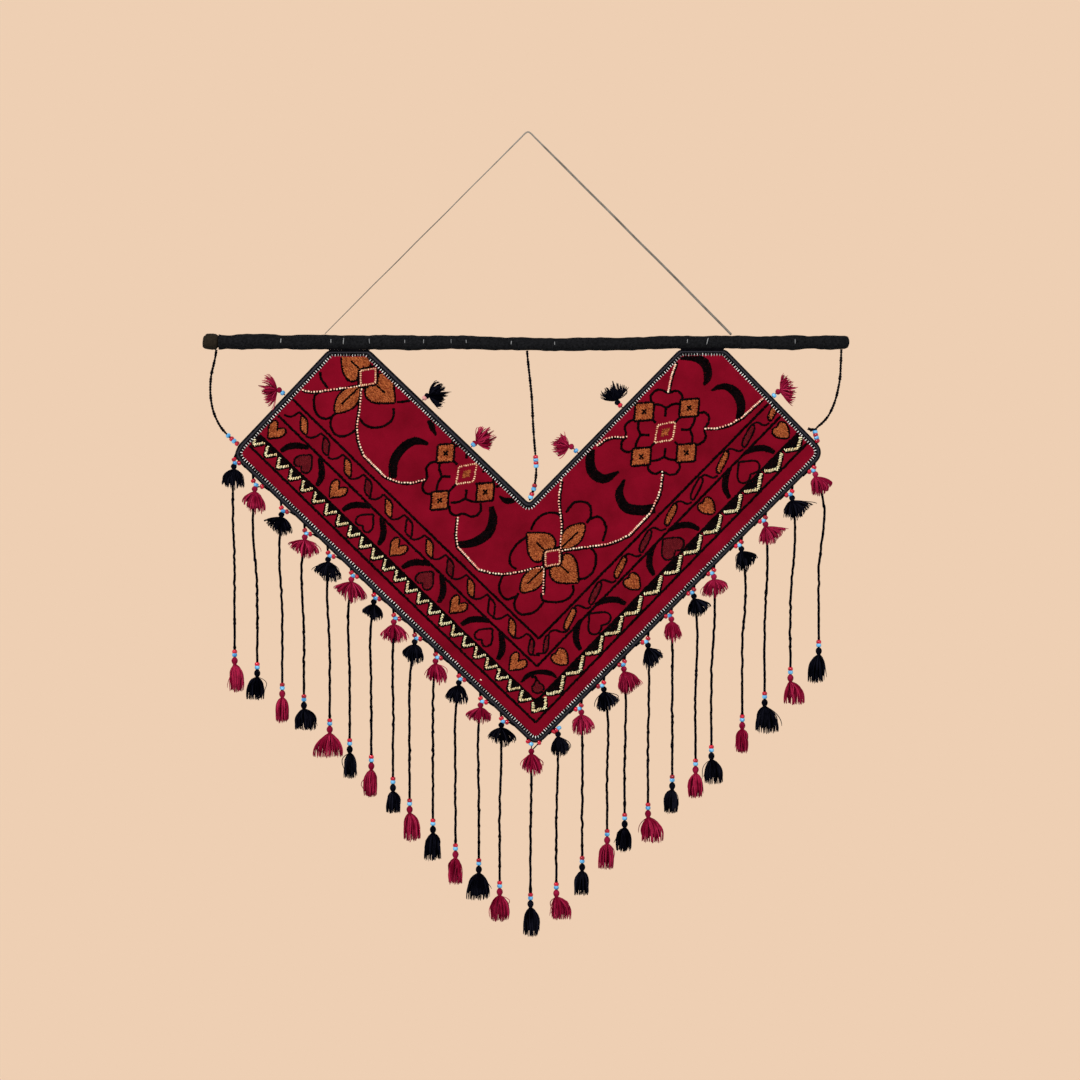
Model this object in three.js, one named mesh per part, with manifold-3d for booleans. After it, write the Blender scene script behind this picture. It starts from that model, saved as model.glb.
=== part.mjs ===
// Embroidered wall hanging and its rod. A V-shaped band of cloth hangs by its two flat tops from a
// cloth-covered stick. A cord makes the triangle that the rod hangs by, three beaded ties hold the cloth's
// corners and notch, and tassels hang along its edges. Millimetres, +Z up, the front faces -Y. The origin is
// the top of the hanging cord.
import * as THREE from 'three';
import { mergeVertices } from 'three/addons/utils/BufferGeometryUtils.js';
import Module from 'manifold-3d';

const wasm = await Module();
wasm.setup();

// Clearance between pieces that touch
const GAP = 0.3;

// Rod and its sleeve
const STICK_RADIUS = 6.1;
const STICK_SIDES = 10;
const SLEEVE_BORE = STICK_RADIUS + 2 * GAP;
const SLEEVE_SIDES = 12;
const SLEEVE_LEFT = -371;
const SLEEVE_BLIND_WALL = 5;
const ROD_Z = -252.4;
const LEFT_TOP_RADIUS = 8.9;
const RIGHT_TOP_RADIUS = 8.1;

// Stations of the stick's bare left end, before the sleeve begins
const STICK_COLUMNS = ['x', 'radius', 'z'];
const STICK_END = [
  [-390.0, 7.4, -250.8],
  [-386.5, 9.2, -251.2],
  [-378.0, 9.9, -251.6],
  [-373.5, 9.1, -251.9],
  [-372.0, STICK_RADIUS, -252.0],
];

// Stations of the sleeve's lumpy outside, which bows down a little in the middle of the rod
const SLEEVE_COLUMNS = ['x', 'radius', 'z'];
const SLEEVE = [
  [SLEEVE_LEFT, 9.3, -252.0],
  [-361, 8.5, -252.0],
  [-344, 9.4, -251.9],
  [-318, 9.6, -251.5],
  [-290, 8.5, -252.0],
  [-262, 9.5, -252.2],
  [-245, LEFT_TOP_RADIUS, ROD_Z],
  [-185, LEFT_TOP_RADIUS, ROD_Z],
  [-140, 9.3, -253.0],
  [-108, 8.4, -252.4],
  [-60, 8.4, -252.9],
  [-30, 8.0, -253.9],
  [24, 7.9, -255.0],
  [62, 8.2, -254.7],
  [100, 8.0, -254.6],
  [140, 7.9, -253.4],
  [177, RIGHT_TOP_RADIUS, ROD_Z],
  [241, RIGHT_TOP_RADIUS, ROD_Z],
  [290, 7.9, -252.6],
  [317, 9.4, -253.0],
  [335, 7.9, -252.6],
  [366, 8.9, -252.4],
  [380, 8.3, -252.2],
  [385.5, 5.2, -252.0],
];

// Outline of the hanging before its corners are rounded. Round is how far from the corner the rounding starts.
const BINDING_WIDTH = 6.6;
const BINDING_THICKNESS = 4.2;
const CLOTH_THICKNESS = 2.4;
const TOP_CLEARANCE = 0.4;
const LEFT_TOP_Z = ROD_Z - LEFT_TOP_RADIUS - TOP_CLEARANCE;
const RIGHT_TOP_Z = ROD_Z - RIGHT_TOP_RADIUS - TOP_CLEARANCE;
const CORNERS = [
  { name: 'left corner', x: -356.5, z: -384.5, round: 17 },
  { name: 'tip', x: 10, z: -736.5, round: 14 },
  { name: 'right corner', x: 356.5, z: -384.5, round: 17 },
  { name: 'right top, outer', x: 236, z: RIGHT_TOP_Z, round: 5 },
  { name: 'right top, inner', x: 181.5, z: RIGHT_TOP_Z, round: 5 },
  { name: 'notch', x: 1.5, z: -445, round: 4 },
  { name: 'left top, inner', x: -189.5, z: LEFT_TOP_Z, round: 5 },
  { name: 'left top, outer', x: -240.5, z: LEFT_TOP_Z, round: 5 },
];
const LEFT = 0;
const TIP = 1;
const RIGHT = 2;
const CORNER_STEPS = 4;
const CORNER_CUT = 3;
const COLUMN_PITCH = 42;
const NARROWEST_COLUMN = 1;
const CLOTH_ROWS = 5;

// The cloth's gentle unevenness, in and out of its plane, which fades out at the rod
const WAVE_HEIGHT = 1.7;
const WAVE_LENGTH = 310;
const WAVE_START = 0.7;
const WAVE_FADE = 110;

// Hanging cord: straight legs and a small round bend over the hook
const CORD_DIAMETER = 2;
const CORD_SIDES = 8;
const CORD_STEPS = 36;
const CORD_ROUTE = [
  [-243.6, -1.2, -242.2],
  [-232.0, -1.2, -230.5],
  [-212.0, -1.1, -210.4],
  [-188.0, -1.0, -186.1],
  [-160.0, -0.9, -158.5],
  [-130.0, -0.7, -128.2],
  [-100.0, -0.5, -98.6],
  [-70.0, -0.4, -68.2],
  [-44.0, -0.2, -42.4],
  [-22.0, -0.1, -20.3],
  [-8.0, 0, -6.3],
  [-2.8, 0, -1.2],
  [-1.0, 0, -0.1],
  [1.0, 0, -0.1],
  [2.8, 0, -1.2],
  [8.0, 0, -6.3],
  [22.0, -0.1, -20.3],
  [44.0, -0.2, -42.2],
  [70.0, -0.4, -68.4],
  [100.0, -0.5, -98.1],
  [130.0, -0.7, -128.5],
  [160.0, -0.9, -158.2],
  [188.0, -1.0, -186.4],
  [212.0, -1.1, -210.8],
  [232.0, -1.2, -231.0],
  [243.6, -1.2, -242.9],
];

// Ties: black yarn from under the rod to the binding
const TIE_DIAMETER = 2.4;
const TIE_STEPS = 14;
const TIE_LEFT_ROUTE = [
  [-374.0, 0.0, -261.5],
  [-375.0, 0.0, -268.8],
  [-377.0, -0.1, -278.4],
  [-379.6, -0.2, -289.2],
  [-380.9, -0.3, -300.0],
  [-381.2, -0.3, -310.8],
  [-380.0, -0.2, -324.0],
  [-377.3, -0.1, -336.0],
  [-373.4, 0.1, -345.6],
  [-368.2, 0.3, -354.8],
  [-362.4, 0.5, -361.6],
  [-357.9, 0.7, -366.0],
  [-354.0, 0.8, -369.8],
  [-350.6, 0.9, -372.8],
  [-347.9, 0.9, -374.8],
];
const TIE_MIDDLE_ROUTE = [
  [-1.2, 0.0, -262.8],
  [-0.4, 0.0, -271.2],
  [0.8, 0.1, -283.2],
  [2.2, 0.2, -295.2],
  [3.3, 0.3, -306.0],
  [4.4, 0.4, -316.8],
  [5.1, 0.5, -328.8],
  [5.6, 0.6, -339.6],
  [6.1, 0.7, -350.4],
  [6.8, 0.8, -361.2],
  [7.6, 0.9, -372.0],
  [8.4, 1.0, -381.6],
  [9.2, 1.0, -391.2],
  [9.8, 1.1, -402.0],
  [9.6, 1.1, -412.0],
  [8.6, 1.2, -420.0],
  [6.9, 1.2, -428.4],
  [4.6, 1.2, -434.6],
  [1.8, 1.2, -441.9],
];
const TIE_RIGHT_ROUTE = [
  [376.0, 0.0, -261.1],
  [375.7, 0.0, -270.0],
  [375.2, -0.1, -282.0],
  [374.4, -0.2, -295.4],
  [372.6, -0.3, -306.0],
  [369.6, -0.4, -319.0],
  [365.2, -0.4, -331.2],
  [359.4, -0.5, -342.0],
  [352.6, -0.5, -349.6],
  [347.0, -0.6, -354.4],
  [344.6, -0.6, -358.0],
  [344.8, -0.6, -362.4],
  [346.2, -0.6, -367.0],
  [347.7, -0.7, -373.4],
];

// Tassels: thread, beads and string
const THREAD_RADIUS = 1.0;
const STRING_RADIUS = 1.35;
const BEAD_RADIUS = 2.5;
const BEAD_SHOULDER = { back: 2.0, radius: 1.3 };
const BEAD_RISE = 5.2;
const BEAD_SIDE = 2.2;
const STRING_BEADS = 10;
const SIDE_BEAD_OUT = 3.7;

// Stations of a tassel's bound head along its own axis, from the bead's thread to where the skirt hides it
const HEAD_COLUMNS = ['down', 'radius'];
const HEAD_PROFILE = [
  [-2.7, 1.8],
  [-1.0, 3.4],
  [1.7, 3.4],
  [5.1, STRING_RADIUS],
];

// A lock of a skirt: its root in the head, its full middle and its hem. Reach and level are shares of the
// skirt's own.
const LOCK_SLIT = 0.9;
const ROOT_DEPTH = 1.7;
const ROOT_HALF = 1.45;
const ROOT_REACH = 0.04;
const MID_REACH = 0.72;
const MID_LEVEL = 0.4;
const MID_DEPTH = 0.8;
const SIDE_THINNING = 0.35;
const LIFT_SLOPE = 1.2;

// The three kinds of skirt. Rounding draws the hem up to the sides, fullness is depth as a share of width.
const UPPER_SKIRT = { locks: 3, rounding: 0.14, fullness: 0.55, deepest: 24 };
const LOWER_SKIRT = { locks: 3, rounding: 0.08, fullness: 0.8, deepest: 15 };
const SIDE_SKIRT = { locks: 5, rounding: 0.45, fullness: 0.35, deepest: 15 };

// Drops, left to right. Under is how far the upper head lies below the cloth's edge. Left, right and skirt
// are the upper skirt's reach to either side and its length, lift is the share of that length by which its
// outer side is blown up, and lean is where the string leaves it. String and sway lead from the upper head to
// the lower one, whose skirt has the last three sizes.
const DROP_COLUMNS = [
  'x', 'under', 'left', 'right', 'skirt', 'lift', 'lean', 'string', 'sway', 'lowLeft', 'lowRight', 'lowSkirt',
  'colour',
];
const DROPS = [
  [-353, 12, 17, 14, 28, 0.1, -1, 234, 1, 6, 11, 36, 'black'],
  [-328, 15, 16, 13, 30, 0.35, -2, 222, 3, 13, 8, 31, 'red'],
  [-296, 15, 21, 14, 26, 0.55, -2, 216, 1, 8, 8, 33, 'black'],
  [-268, 15, 20, 17, 26, 0.45, -3, 203, -1, 12, 16, 29, 'red'],
  [-240, 15, 18, 16, 28, 0.35, -1, 205, 2, 21, 16, 33, 'black'],
  [-212, 12, 24, 20, 29, 0.45, -3, 205, -2, 7, 8, 34, 'red'],
  [-185, 13, 15, 12, 24, 0.35, -3, 198, -3, 10, 7, 36, 'black'],
  [-161, 14, 16, 17, 27, 0.15, -1, 200, -1, 8, 9, 30, 'red'],
  [-136, 14, 17, 12, 28, 0.35, -4, 202, -6, 7, 13, 36, 'black'],
  [-111, 13, 13, 15, 28, 0.2, -2, 203, -3, 10, 9, 36, 'red'],
  [-83, 12, 17, 11, 27, 0.15, -3, 207, -4, 8, 8, 35, 'black'],
  [-57, 14, 18, 13, 23, 0.25, -2, 198, -2, 15, 14, 36, 'red'],
  [-32, 14, 17, 17, 26, 0.3, 0, 201, -2, 12, 12, 34, 'black'],
  [4, 11, 11, 14, 29, 0.1, 0, 184, -1, 9, 10, 38, 'red'],
  [36, 11, 9, 15, 28, 0.15, 0, 192, -2, 6, 19, 31, 'black'],
  [64, 13, 12, 17, 29, 0.15, 1, 187, 1, 10, 8, 33, 'red'],
  [91, 13, 9, 17, 28, 0.25, 4, 182, 4, 11, 8, 34, 'black'],
  [115, 13, 7, 21, 31, 0.2, 2, 187, 1, 11, 8, 32, 'red'],
  [144, 14, 6, 18, 28, 0.35, 1, 203, 0, 9, 18, 34, 'black'],
  [172, 11, 8, 12, 28, 0.1, 1, 201, 1, 11, 7, 32, 'red'],
  [199, 11, 8, 20, 26, 0.35, 3, 209, 2, 10, 9, 33, 'black'],
  [223, 12, 15, 18, 26, 0.3, 1, 216, -3, 9, 14, 33, 'red'],
  [256, 12, 7, 21, 28, 0.45, 4, 213, 1, 8, 7, 32, 'black'],
  [285, 12, 8, 25, 26, 0.6, 2, 215, -1, 11, 17, 36, 'red'],
  [317, 13, 10, 24, 28, 0.55, 3, 217, -2, 8, 17, 31, 'black'],
  [345, 13, 5, 22, 27, 0.35, 8, 213, 4, 13, 7, 37, 'red'],
];

// Side tassels on the upper edges. Turn is the way the skirt points, in degrees from straight down to +X.
const SIDE_COLUMNS = ['x', 'z', 'turn', 'spread', 'length', 'colour'];
const SIDE_TASSELS = [
  [-298.0, -309.6, -88, 20, 22, 'red'],
  [-121.6, -316.8, 96, 17, 25, 'black'],
  [-64.4, -374.0, 118, 16, 25, 'red'],
  [52.6, -377.6, -98, 14, 24, 'red'],
  [107.5, -325.2, -164, 17, 24, 'black'],
  [299.6, -311.8, 104, 18, 23, 'red'],
];

// Finishes
const FINISH = {
  rod: { color: 0x2b221b, roughness: 0.8 },
  sleeve: { color: 0x1b1b1d, roughness: 0.9 },
  cloth: { color: 0x870a1e, roughness: 0.95 },
  binding: { color: 0x2d2d2f, roughness: 0.85 },
  cord: { color: 0x7d7673, roughness: 0.8 },
  black: { color: 0x141214, roughness: 0.9 },
  red: { color: 0xa5193c, roughness: 0.9 },
};

const group = new THREE.Group();

// Adds one named solid with its own finish
function addSolid(name, geometry, finish) {
  const material = new THREE.MeshStandardMaterial({ ...FINISH[finish], metalness: 0 });
  const mesh = new THREE.Mesh(geometry, material);
  mesh.name = name;
  group.add(mesh);
}

// Turns a table's row into an object with named values
function named(columns, row) {
  return Object.fromEntries(columns.map((column, index) => [column, row[index]]));
}

// Faces of a closed mesh, turned to point outwards
function closedGeometry(points, faces) {
  let volume = 0;
  for (const [a, b, c] of faces) {
    volume += points[a].dot(new THREE.Vector3().crossVectors(points[b], points[c]));
  }
  const index = faces.flatMap(([a, b, c]) => (volume > 0 ? [a, b, c] : [a, c, b]));
  const geometry = new THREE.BufferGeometry().setFromPoints(points);
  geometry.setIndex(index);
  return geometry;
}

// Solid through a row of rings with the same number of points, closed by a flat cap at each end
function loft(rings) {
  const sides = rings[0].length;
  const last = (rings.length - 1) * sides;
  const faces = [];
  for (let start = 0; start < last; start += sides) {
    for (let side = 0; side < sides; side += 1) {
      const a = start + side;
      const b = start + ((side + 1) % sides);
      faces.push([a, b, b + sides], [a, b + sides, a + sides]);
    }
  }
  for (let side = 1; side < sides - 1; side += 1) {
    faces.push([0, side + 1, side], [last, last + side, last + side + 1]);
  }
  return closedGeometry(rings.flat(), faces);
}

// Upright ring of a round stick that lies along X
function stickRing(x, radius, z, sides) {
  return Array.from({ length: sides }, (_, side) => {
    const angle = (2 * Math.PI * side) / sides;
    return new THREE.Vector3(x, radius * Math.cos(angle), z + radius * Math.sin(angle));
  });
}

// How far out of its plane the cloth lies at a place
function waveAt(x, z) {
  const fade = Math.min(1, Math.max(0, (LEFT_TOP_Z - z) / WAVE_FADE));
  return WAVE_HEIGHT * fade * Math.sin((2 * Math.PI * x) / WAVE_LENGTH + WAVE_START);
}

// The outline moved inwards by a distance, keeping its corners sharp. Corners run anticlockwise.
function inset(corners, distance) {
  return corners.map((corner, index) => {
    const before = corners.at(index - 1);
    const after = corners[(index + 1) % corners.length];
    const along = corner.clone().sub(before).normalize();
    const onward = after.clone().sub(corner).normalize();
    const inward = new THREE.Vector2(-along.y, along.x);
    const nextInward = new THREE.Vector2(-onward.y, onward.x);
    const scale = distance / (1 + inward.dot(nextInward));
    return inward.add(nextInward).multiplyScalar(scale).add(corner);
  });
}

// The height of a chain of points at x
function heightAt(chain, x) {
  for (let index = 1; index < chain.length; index += 1) {
    const from = chain[index - 1];
    const to = chain[index];
    if (x <= to.x) {
      return from.y + ((to.y - from.y) * (x - from.x)) / (to.x - from.x);
    }
  }
  return chain.at(-1).y;
}

// A closed outline with points added so that no straight stretch is longer than the pitch
function divided(points, pitch) {
  return points.flatMap((point, index) => {
    const next = points[(index + 1) % points.length];
    const count = Math.ceil(point.distanceTo(next) / pitch);
    return Array.from({ length: count }, (_, step) => point.clone().lerp(next, step / count));
  });
}

// The binding's outer edge, with its corners rounded
function outerEdge() {
  const shape = new THREE.Shape();
  CORNERS.forEach((corner, index) => {
    const at = new THREE.Vector2(corner.x, corner.z);
    const before = new THREE.Vector2(CORNERS.at(index - 1).x, CORNERS.at(index - 1).z);
    const next = CORNERS[(index + 1) % CORNERS.length];
    const after = new THREE.Vector2(next.x, next.z);
    const enter = before.sub(at).setLength(corner.round).add(at);
    const leave = after.sub(at).setLength(corner.round).add(at);
    if (index === 0) {
      shape.moveTo(enter.x, enter.y);
    } else {
      shape.lineTo(enter.x, enter.y);
    }
    shape.quadraticCurveTo(at.x, at.y, leave.x, leave.y);
  });
  return shape.getPoints(CORNER_STEPS);
}

const SHARP_CORNERS = CORNERS.map((corner) => new THREE.Vector2(corner.x, corner.z));
const OUTER_EDGE = outerEdge();

// The cloth's own corners inside the binding, with the left and right ones cut upright
const clothCorners = inset(SHARP_CORNERS, BINDING_WIDTH + GAP);
const lowerChain = [clothCorners[LEFT], clothCorners[TIP], clothCorners[RIGHT]];
const upperChain = [clothCorners[LEFT], ...clothCorners.slice(RIGHT + 1).reverse(), clothCorners[RIGHT]];
const clothLeft = clothCorners[LEFT].x + CORNER_CUT;
const clothRight = clothCorners[RIGHT].x - CORNER_CUT;
const cutCorners = [
  new THREE.Vector2(clothLeft, heightAt(lowerChain, clothLeft)),
  clothCorners[TIP],
  new THREE.Vector2(clothRight, heightAt(lowerChain, clothRight)),
  new THREE.Vector2(clothRight, heightAt(upperChain, clothRight)),
  ...clothCorners.slice(RIGHT + 1),
  new THREE.Vector2(clothLeft, heightAt(upperChain, clothLeft)),
];

// Upright columns of the cloth: one at each corner, and more between them
function clothColumns() {
  const stops = [...cutCorners.map((corner) => corner.x)].sort((a, b) => a - b);
  const columns = [stops[0]];
  for (let index = 1; index < stops.length; index += 1) {
    const span = stops[index] - stops[index - 1];
    const count = Math.ceil(span / COLUMN_PITCH);
    for (let step = 1; step <= count && span > NARROWEST_COLUMN; step += 1) {
      columns.push(stops[index - 1] + (span * step) / count);
    }
  }
  return columns;
}

// The cloth: a thin sheet whose front and back follow the same waves. Each column of points has a row down
// the front and one down the back.
function clothGeometry() {
  const columns = clothColumns();
  const points = [];
  for (const x of columns) {
    const low = heightAt(lowerChain, x);
    const high = heightAt(upperChain, x);
    for (const side of [-1, 1]) {
      for (let row = 0; row <= CLOTH_ROWS; row += 1) {
        const z = high + ((low - high) * row) / CLOTH_ROWS;
        points.push(new THREE.Vector3(x, waveAt(x, z) + (side * CLOTH_THICKNESS) / 2, z));
      }
    }
  }
  const perSide = CLOTH_ROWS + 1;
  const at = (column, side, row) => (column * 2 + side) * perSide + row;
  const faces = [];
  const quad = (a, b, c, d) => faces.push([a, b, c], [a, c, d]);
  for (let column = 0; column < columns.length - 1; column += 1) {
    for (let row = 0; row < CLOTH_ROWS; row += 1) {
      quad(at(column, 0, row), at(column, 0, row + 1), at(column + 1, 0, row + 1), at(column + 1, 0, row));
      quad(at(column, 1, row), at(column + 1, 1, row), at(column + 1, 1, row + 1), at(column, 1, row + 1));
    }
    quad(at(column, 0, 0), at(column + 1, 0, 0), at(column + 1, 1, 0), at(column, 1, 0));
    const foot = CLOTH_ROWS;
    quad(at(column, 0, foot), at(column, 1, foot), at(column + 1, 1, foot), at(column + 1, 0, foot));
  }
  const end = columns.length - 1;
  for (let row = 0; row < CLOTH_ROWS; row += 1) {
    quad(at(0, 0, row), at(0, 1, row), at(0, 1, row + 1), at(0, 0, row + 1));
    quad(at(end, 0, row), at(end, 0, row + 1), at(end, 1, row + 1), at(end, 1, row));
  }
  return closedGeometry(points, faces);
}

// The binding: a strip round the cloth's whole edge, bent with the same waves
function bindingGeometry() {
  const shape = new THREE.Shape(divided(OUTER_EDGE, COLUMN_PITCH));
  shape.holes.push(new THREE.Path(divided(inset(cutCorners, -GAP), COLUMN_PITCH)));
  const strip = new THREE.ExtrudeGeometry(shape, { depth: BINDING_THICKNESS, bevelEnabled: false, steps: 1 });
  const place = strip.getAttribute('position');
  for (let index = 0; index < place.count; index += 1) {
    const x = place.getX(index);
    const z = place.getY(index);
    place.setXYZ(index, x, waveAt(x, z) + BINDING_THICKNESS / 2 - place.getZ(index), z);
  }
  return strip;
}

// The stick, thick at its bare left end and even inside the sleeve
function rodGeometry() {
  const bare = STICK_END.map((row) => named(STICK_COLUMNS, row));
  const covered = SLEEVE.slice(1, -1).map((row) => named(SLEEVE_COLUMNS, row));
  const inside = covered.filter((_, index) => index % 3 === 0);
  const end = named(SLEEVE_COLUMNS, SLEEVE.at(-1));
  const stations = [
    ...bare,
    ...inside.map(({ x, z }) => ({ x, z, radius: STICK_RADIUS })),
    { x: end.x - SLEEVE_BLIND_WALL - GAP, z: end.z, radius: STICK_RADIUS },
  ];
  return loft(stations.map(({ x, radius, z }) => stickRing(x, radius, z, STICK_SIDES)));
}

// The sleeve: from its blind inner end back to the mouth at the left, then along its lumpy outside
function sleeveGeometry() {
  const outside = SLEEVE.map((row) => named(SLEEVE_COLUMNS, row));
  const covered = outside.slice(1, -1).filter((_, index) => index % 3 === 0);
  const blind = outside.at(-1);
  const inside = [
    { x: blind.x - SLEEVE_BLIND_WALL, z: blind.z },
    ...covered.reverse(),
    outside[0],
  ].map(({ x, z }) => ({ x, z, radius: SLEEVE_BORE }));
  return loft([...inside, ...outside].map(({ x, radius, z }) => stickRing(x, radius, z, SLEEVE_SIDES)));
}

// A free cord: a round section carried along a smooth curve
function cordGeometry(route, diameter, steps) {
  const section = new THREE.Shape().absarc(0, 0, diameter / 2, 0, 2 * Math.PI, false);
  const points = route.map(([x, y, z]) => new THREE.Vector3(x, y, z));
  const extrudePath = new THREE.CatmullRomCurve3(points, false, 'centripetal');
  return new THREE.ExtrudeGeometry(section, {
    steps, curveSegments: CORD_SIDES / 2, bevelEnabled: false, extrudePath,
  });
}

// A thread that lies in one upright plane: four-sided rings across it, one for each station
function thread(stations, y) {
  const rings = stations.map((station, index) => {
    const before = stations[Math.max(index - 1, 0)];
    const after = stations[Math.min(index + 1, stations.length - 1)];
    const along = new THREE.Vector2(after.x - before.x, after.z - before.z).normalize();
    const across = new THREE.Vector3(along.y, 0, -along.x).multiplyScalar(station.radius);
    const depth = new THREE.Vector3(0, station.radius, 0);
    const centre = new THREE.Vector3(station.x, y, station.z);
    return [across, depth, across.clone().negate(), depth.clone().negate()].map((step) => step.add(centre));
  });
  return loft(rings);
}

// Ring of a lock between two places on its hem line or its root
function lockRing(left, right, halfDepth) {
  return [[left, -1], [right, -1], [right, 1], [left, 1]].map(
    ([place, front]) => new THREE.Vector3(place.x, front * halfDepth, place.z),
  );
}

// The locks of a skirt that hangs from its head at the origin. Each swells from its root to a full middle and
// a hem. A lift raises the hem on one side: to the left when it is below zero, to the right when it is above.
function skirtLocks({ locks, rounding, fullness, deepest }, { left, right, length, lift = 0 }) {
  const pitch = (left + right) / locks;
  const depth = Math.min(deepest, (left + right) * fullness);
  const place = (x, reach, level) => {
    const off = (2 * (x + left)) / (left + right) - 1;
    const raised = Math.abs(lift) * Math.max(0, Math.sign(lift) * off) * LIFT_SLOPE;
    const hem = ROOT_DEPTH + (length - ROOT_DEPTH) * (1 - rounding * off * off - raised);
    return { x: x * reach, z: -ROOT_DEPTH - (hem - ROOT_DEPTH) * level };
  };
  return Array.from({ length: locks }, (_, index) => {
    const x = -left + pitch * (index + 0.5);
    const off = (2 * index + 1) / locks - 1;
    const halfDepth = (depth / 2) * (1 - SIDE_THINNING * off * off);
    const from = x - (pitch - LOCK_SLIT) / 2;
    const to = x + (pitch - LOCK_SLIT) / 2;
    const root = x * ROOT_REACH;
    return loft([
      lockRing({ x: root - ROOT_HALF, z: -ROOT_DEPTH }, { x: root + ROOT_HALF, z: -ROOT_DEPTH }, ROOT_HALF),
      lockRing(place(from, MID_REACH, MID_LEVEL), place(to, MID_REACH, MID_LEVEL), halfDepth * MID_DEPTH),
      lockRing(place(from, 1, 1), place(to, 1, 1), halfDepth),
    ]);
  });
}

// Solid of a geometry, for joining
function toManifold(geometry) {
  const bare = geometry.clone();
  bare.deleteAttribute('normal');
  bare.deleteAttribute('uv');
  const merged = mergeVertices(bare);
  return new wasm.Manifold(new wasm.Mesh({
    numProp: 3,
    vertProperties: new Float32Array(merged.getAttribute('position').array),
    triVerts: new Uint32Array(merged.getIndex().array),
  }));
}

// One solid from several that cross each other
function joined(geometries) {
  const whole = geometries.map(toManifold).reduce((sum, next) => sum.add(next));
  const mesh = whole.getMesh();
  const geometry = new THREE.BufferGeometry();
  geometry.setAttribute('position', new THREE.BufferAttribute(new Float32Array(mesh.vertProperties), 3));
  geometry.setIndex([...mesh.triVerts]);
  return geometry;
}

// The point of the binding's edge nearest to a place
function footOnEdge(place) {
  let foot = null;
  OUTER_EDGE.forEach((from, index) => {
    const to = OUTER_EDGE[(index + 1) % OUTER_EDGE.length];
    const along = to.clone().sub(from);
    const share = THREE.MathUtils.clamp(place.clone().sub(from).dot(along) / along.lengthSq(), 0, 1);
    const candidate = from.clone().add(along.multiplyScalar(share));
    if (!foot || candidate.distanceTo(place) < foot.distanceTo(place)) {
      foot = candidate;
    }
  });
  return foot;
}

// Stations from the binding's edge to a bead
function loopStations(bead) {
  const foot = footOnEdge(bead);
  const away = bead.clone().sub(foot);
  const start = foot.clone().add(away.clone().setLength(GAP));
  const before = bead.clone().sub(away.clone().setLength(BEAD_SHOULDER.back));
  return [
    { x: start.x, z: start.y, radius: THREAD_RADIUS },
    { x: before.x, z: before.y, radius: BEAD_SHOULDER.radius },
    { x: bead.x, z: bead.y, radius: BEAD_RADIUS },
  ];
}

// Stations of a tassel's head, whose axis points along away
function headStations(head, away) {
  return HEAD_PROFILE.map((row) => {
    const { down, radius } = named(HEAD_COLUMNS, row);
    return { x: head.x + away.x * down, z: head.y + away.y * down, radius };
  });
}

// One drop, from the binding's edge to the hem of its lower tassel
function dropGeometry(drop) {
  const side = drop.x < CORNERS[TIP].x ? 1 : -1;
  const sharpEdge = [SHARP_CORNERS[LEFT], SHARP_CORNERS[TIP], SHARP_CORNERS[RIGHT]];
  const down = new THREE.Vector2(0, -1);
  const head = new THREE.Vector2(drop.x, heightAt(sharpEdge, drop.x) - drop.under);
  const low = new THREE.Vector2(drop.x + drop.sway, head.y - drop.string);
  const bead = new THREE.Vector2(head.x + side * BEAD_SIDE, head.y + BEAD_RISE);
  const y = waveAt(bead.x, bead.y);
  const spine = thread([
    ...loopStations(bead),
    ...headStations(head, down),
    { x: head.x + drop.lean, z: head.y - drop.skirt, radius: STRING_RADIUS },
    { x: low.x, z: low.y + STRING_BEADS + BEAD_RADIUS, radius: STRING_RADIUS },
    { x: low.x, z: low.y + STRING_BEADS, radius: BEAD_RADIUS },
    { x: low.x, z: low.y + BEAD_RISE, radius: BEAD_RADIUS },
    ...headStations(low, down),
  ], y);
  const upper = skirtLocks(UPPER_SKIRT, {
    left: drop.left, right: drop.right, length: drop.skirt, lift: -side * drop.lift,
  });
  const lower = skirtLocks(LOWER_SKIRT, {
    left: drop.lowLeft, right: drop.lowRight, length: drop.lowSkirt,
  });
  upper.forEach((lock) => lock.translate(head.x, y, head.y));
  lower.forEach((lock) => lock.translate(low.x, y, low.y));
  return joined([spine, ...upper, ...lower]);
}

// One side tassel, held to the binding by a bead and turned outwards
function sideTasselGeometry(tassel) {
  const turn = THREE.MathUtils.degToRad(tassel.turn);
  const head = new THREE.Vector2(tassel.x, tassel.z);
  const foot = footOnEdge(head);
  const outward = head.clone().sub(foot);
  const bead = foot.clone().add(outward.setLength(SIDE_BEAD_OUT));
  const y = waveAt(foot.x, foot.y);
  const away = new THREE.Vector2(Math.sin(turn), -Math.cos(turn));
  const spine = thread([...loopStations(bead), ...headStations(head, away)], y);
  const locks = skirtLocks(SIDE_SKIRT, {
    left: tassel.spread, right: tassel.spread, length: tassel.length,
  });
  locks.forEach((lock) => lock.rotateY(-turn).translate(tassel.x, y, tassel.z));
  return joined([spine, ...locks]);
}

addSolid('rod', rodGeometry(), 'rod');
addSolid('rod_sleeve', sleeveGeometry(), 'sleeve');
addSolid('cloth', clothGeometry(), 'cloth');
addSolid('binding', bindingGeometry(), 'binding');
addSolid('hanging_cord', cordGeometry(CORD_ROUTE, CORD_DIAMETER, CORD_STEPS), 'cord');
addSolid('tie_left', cordGeometry(TIE_LEFT_ROUTE, TIE_DIAMETER, TIE_STEPS), 'black');
addSolid('tie_middle', cordGeometry(TIE_MIDDLE_ROUTE, TIE_DIAMETER, TIE_STEPS), 'black');
addSolid('tie_right', cordGeometry(TIE_RIGHT_ROUTE, TIE_DIAMETER, TIE_STEPS), 'black');
SIDE_TASSELS.forEach((row, index) => {
  const tassel = named(SIDE_COLUMNS, row);
  addSolid(`side_tassel_${index + 1}`, sideTasselGeometry(tassel), tassel.colour);
});
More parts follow.
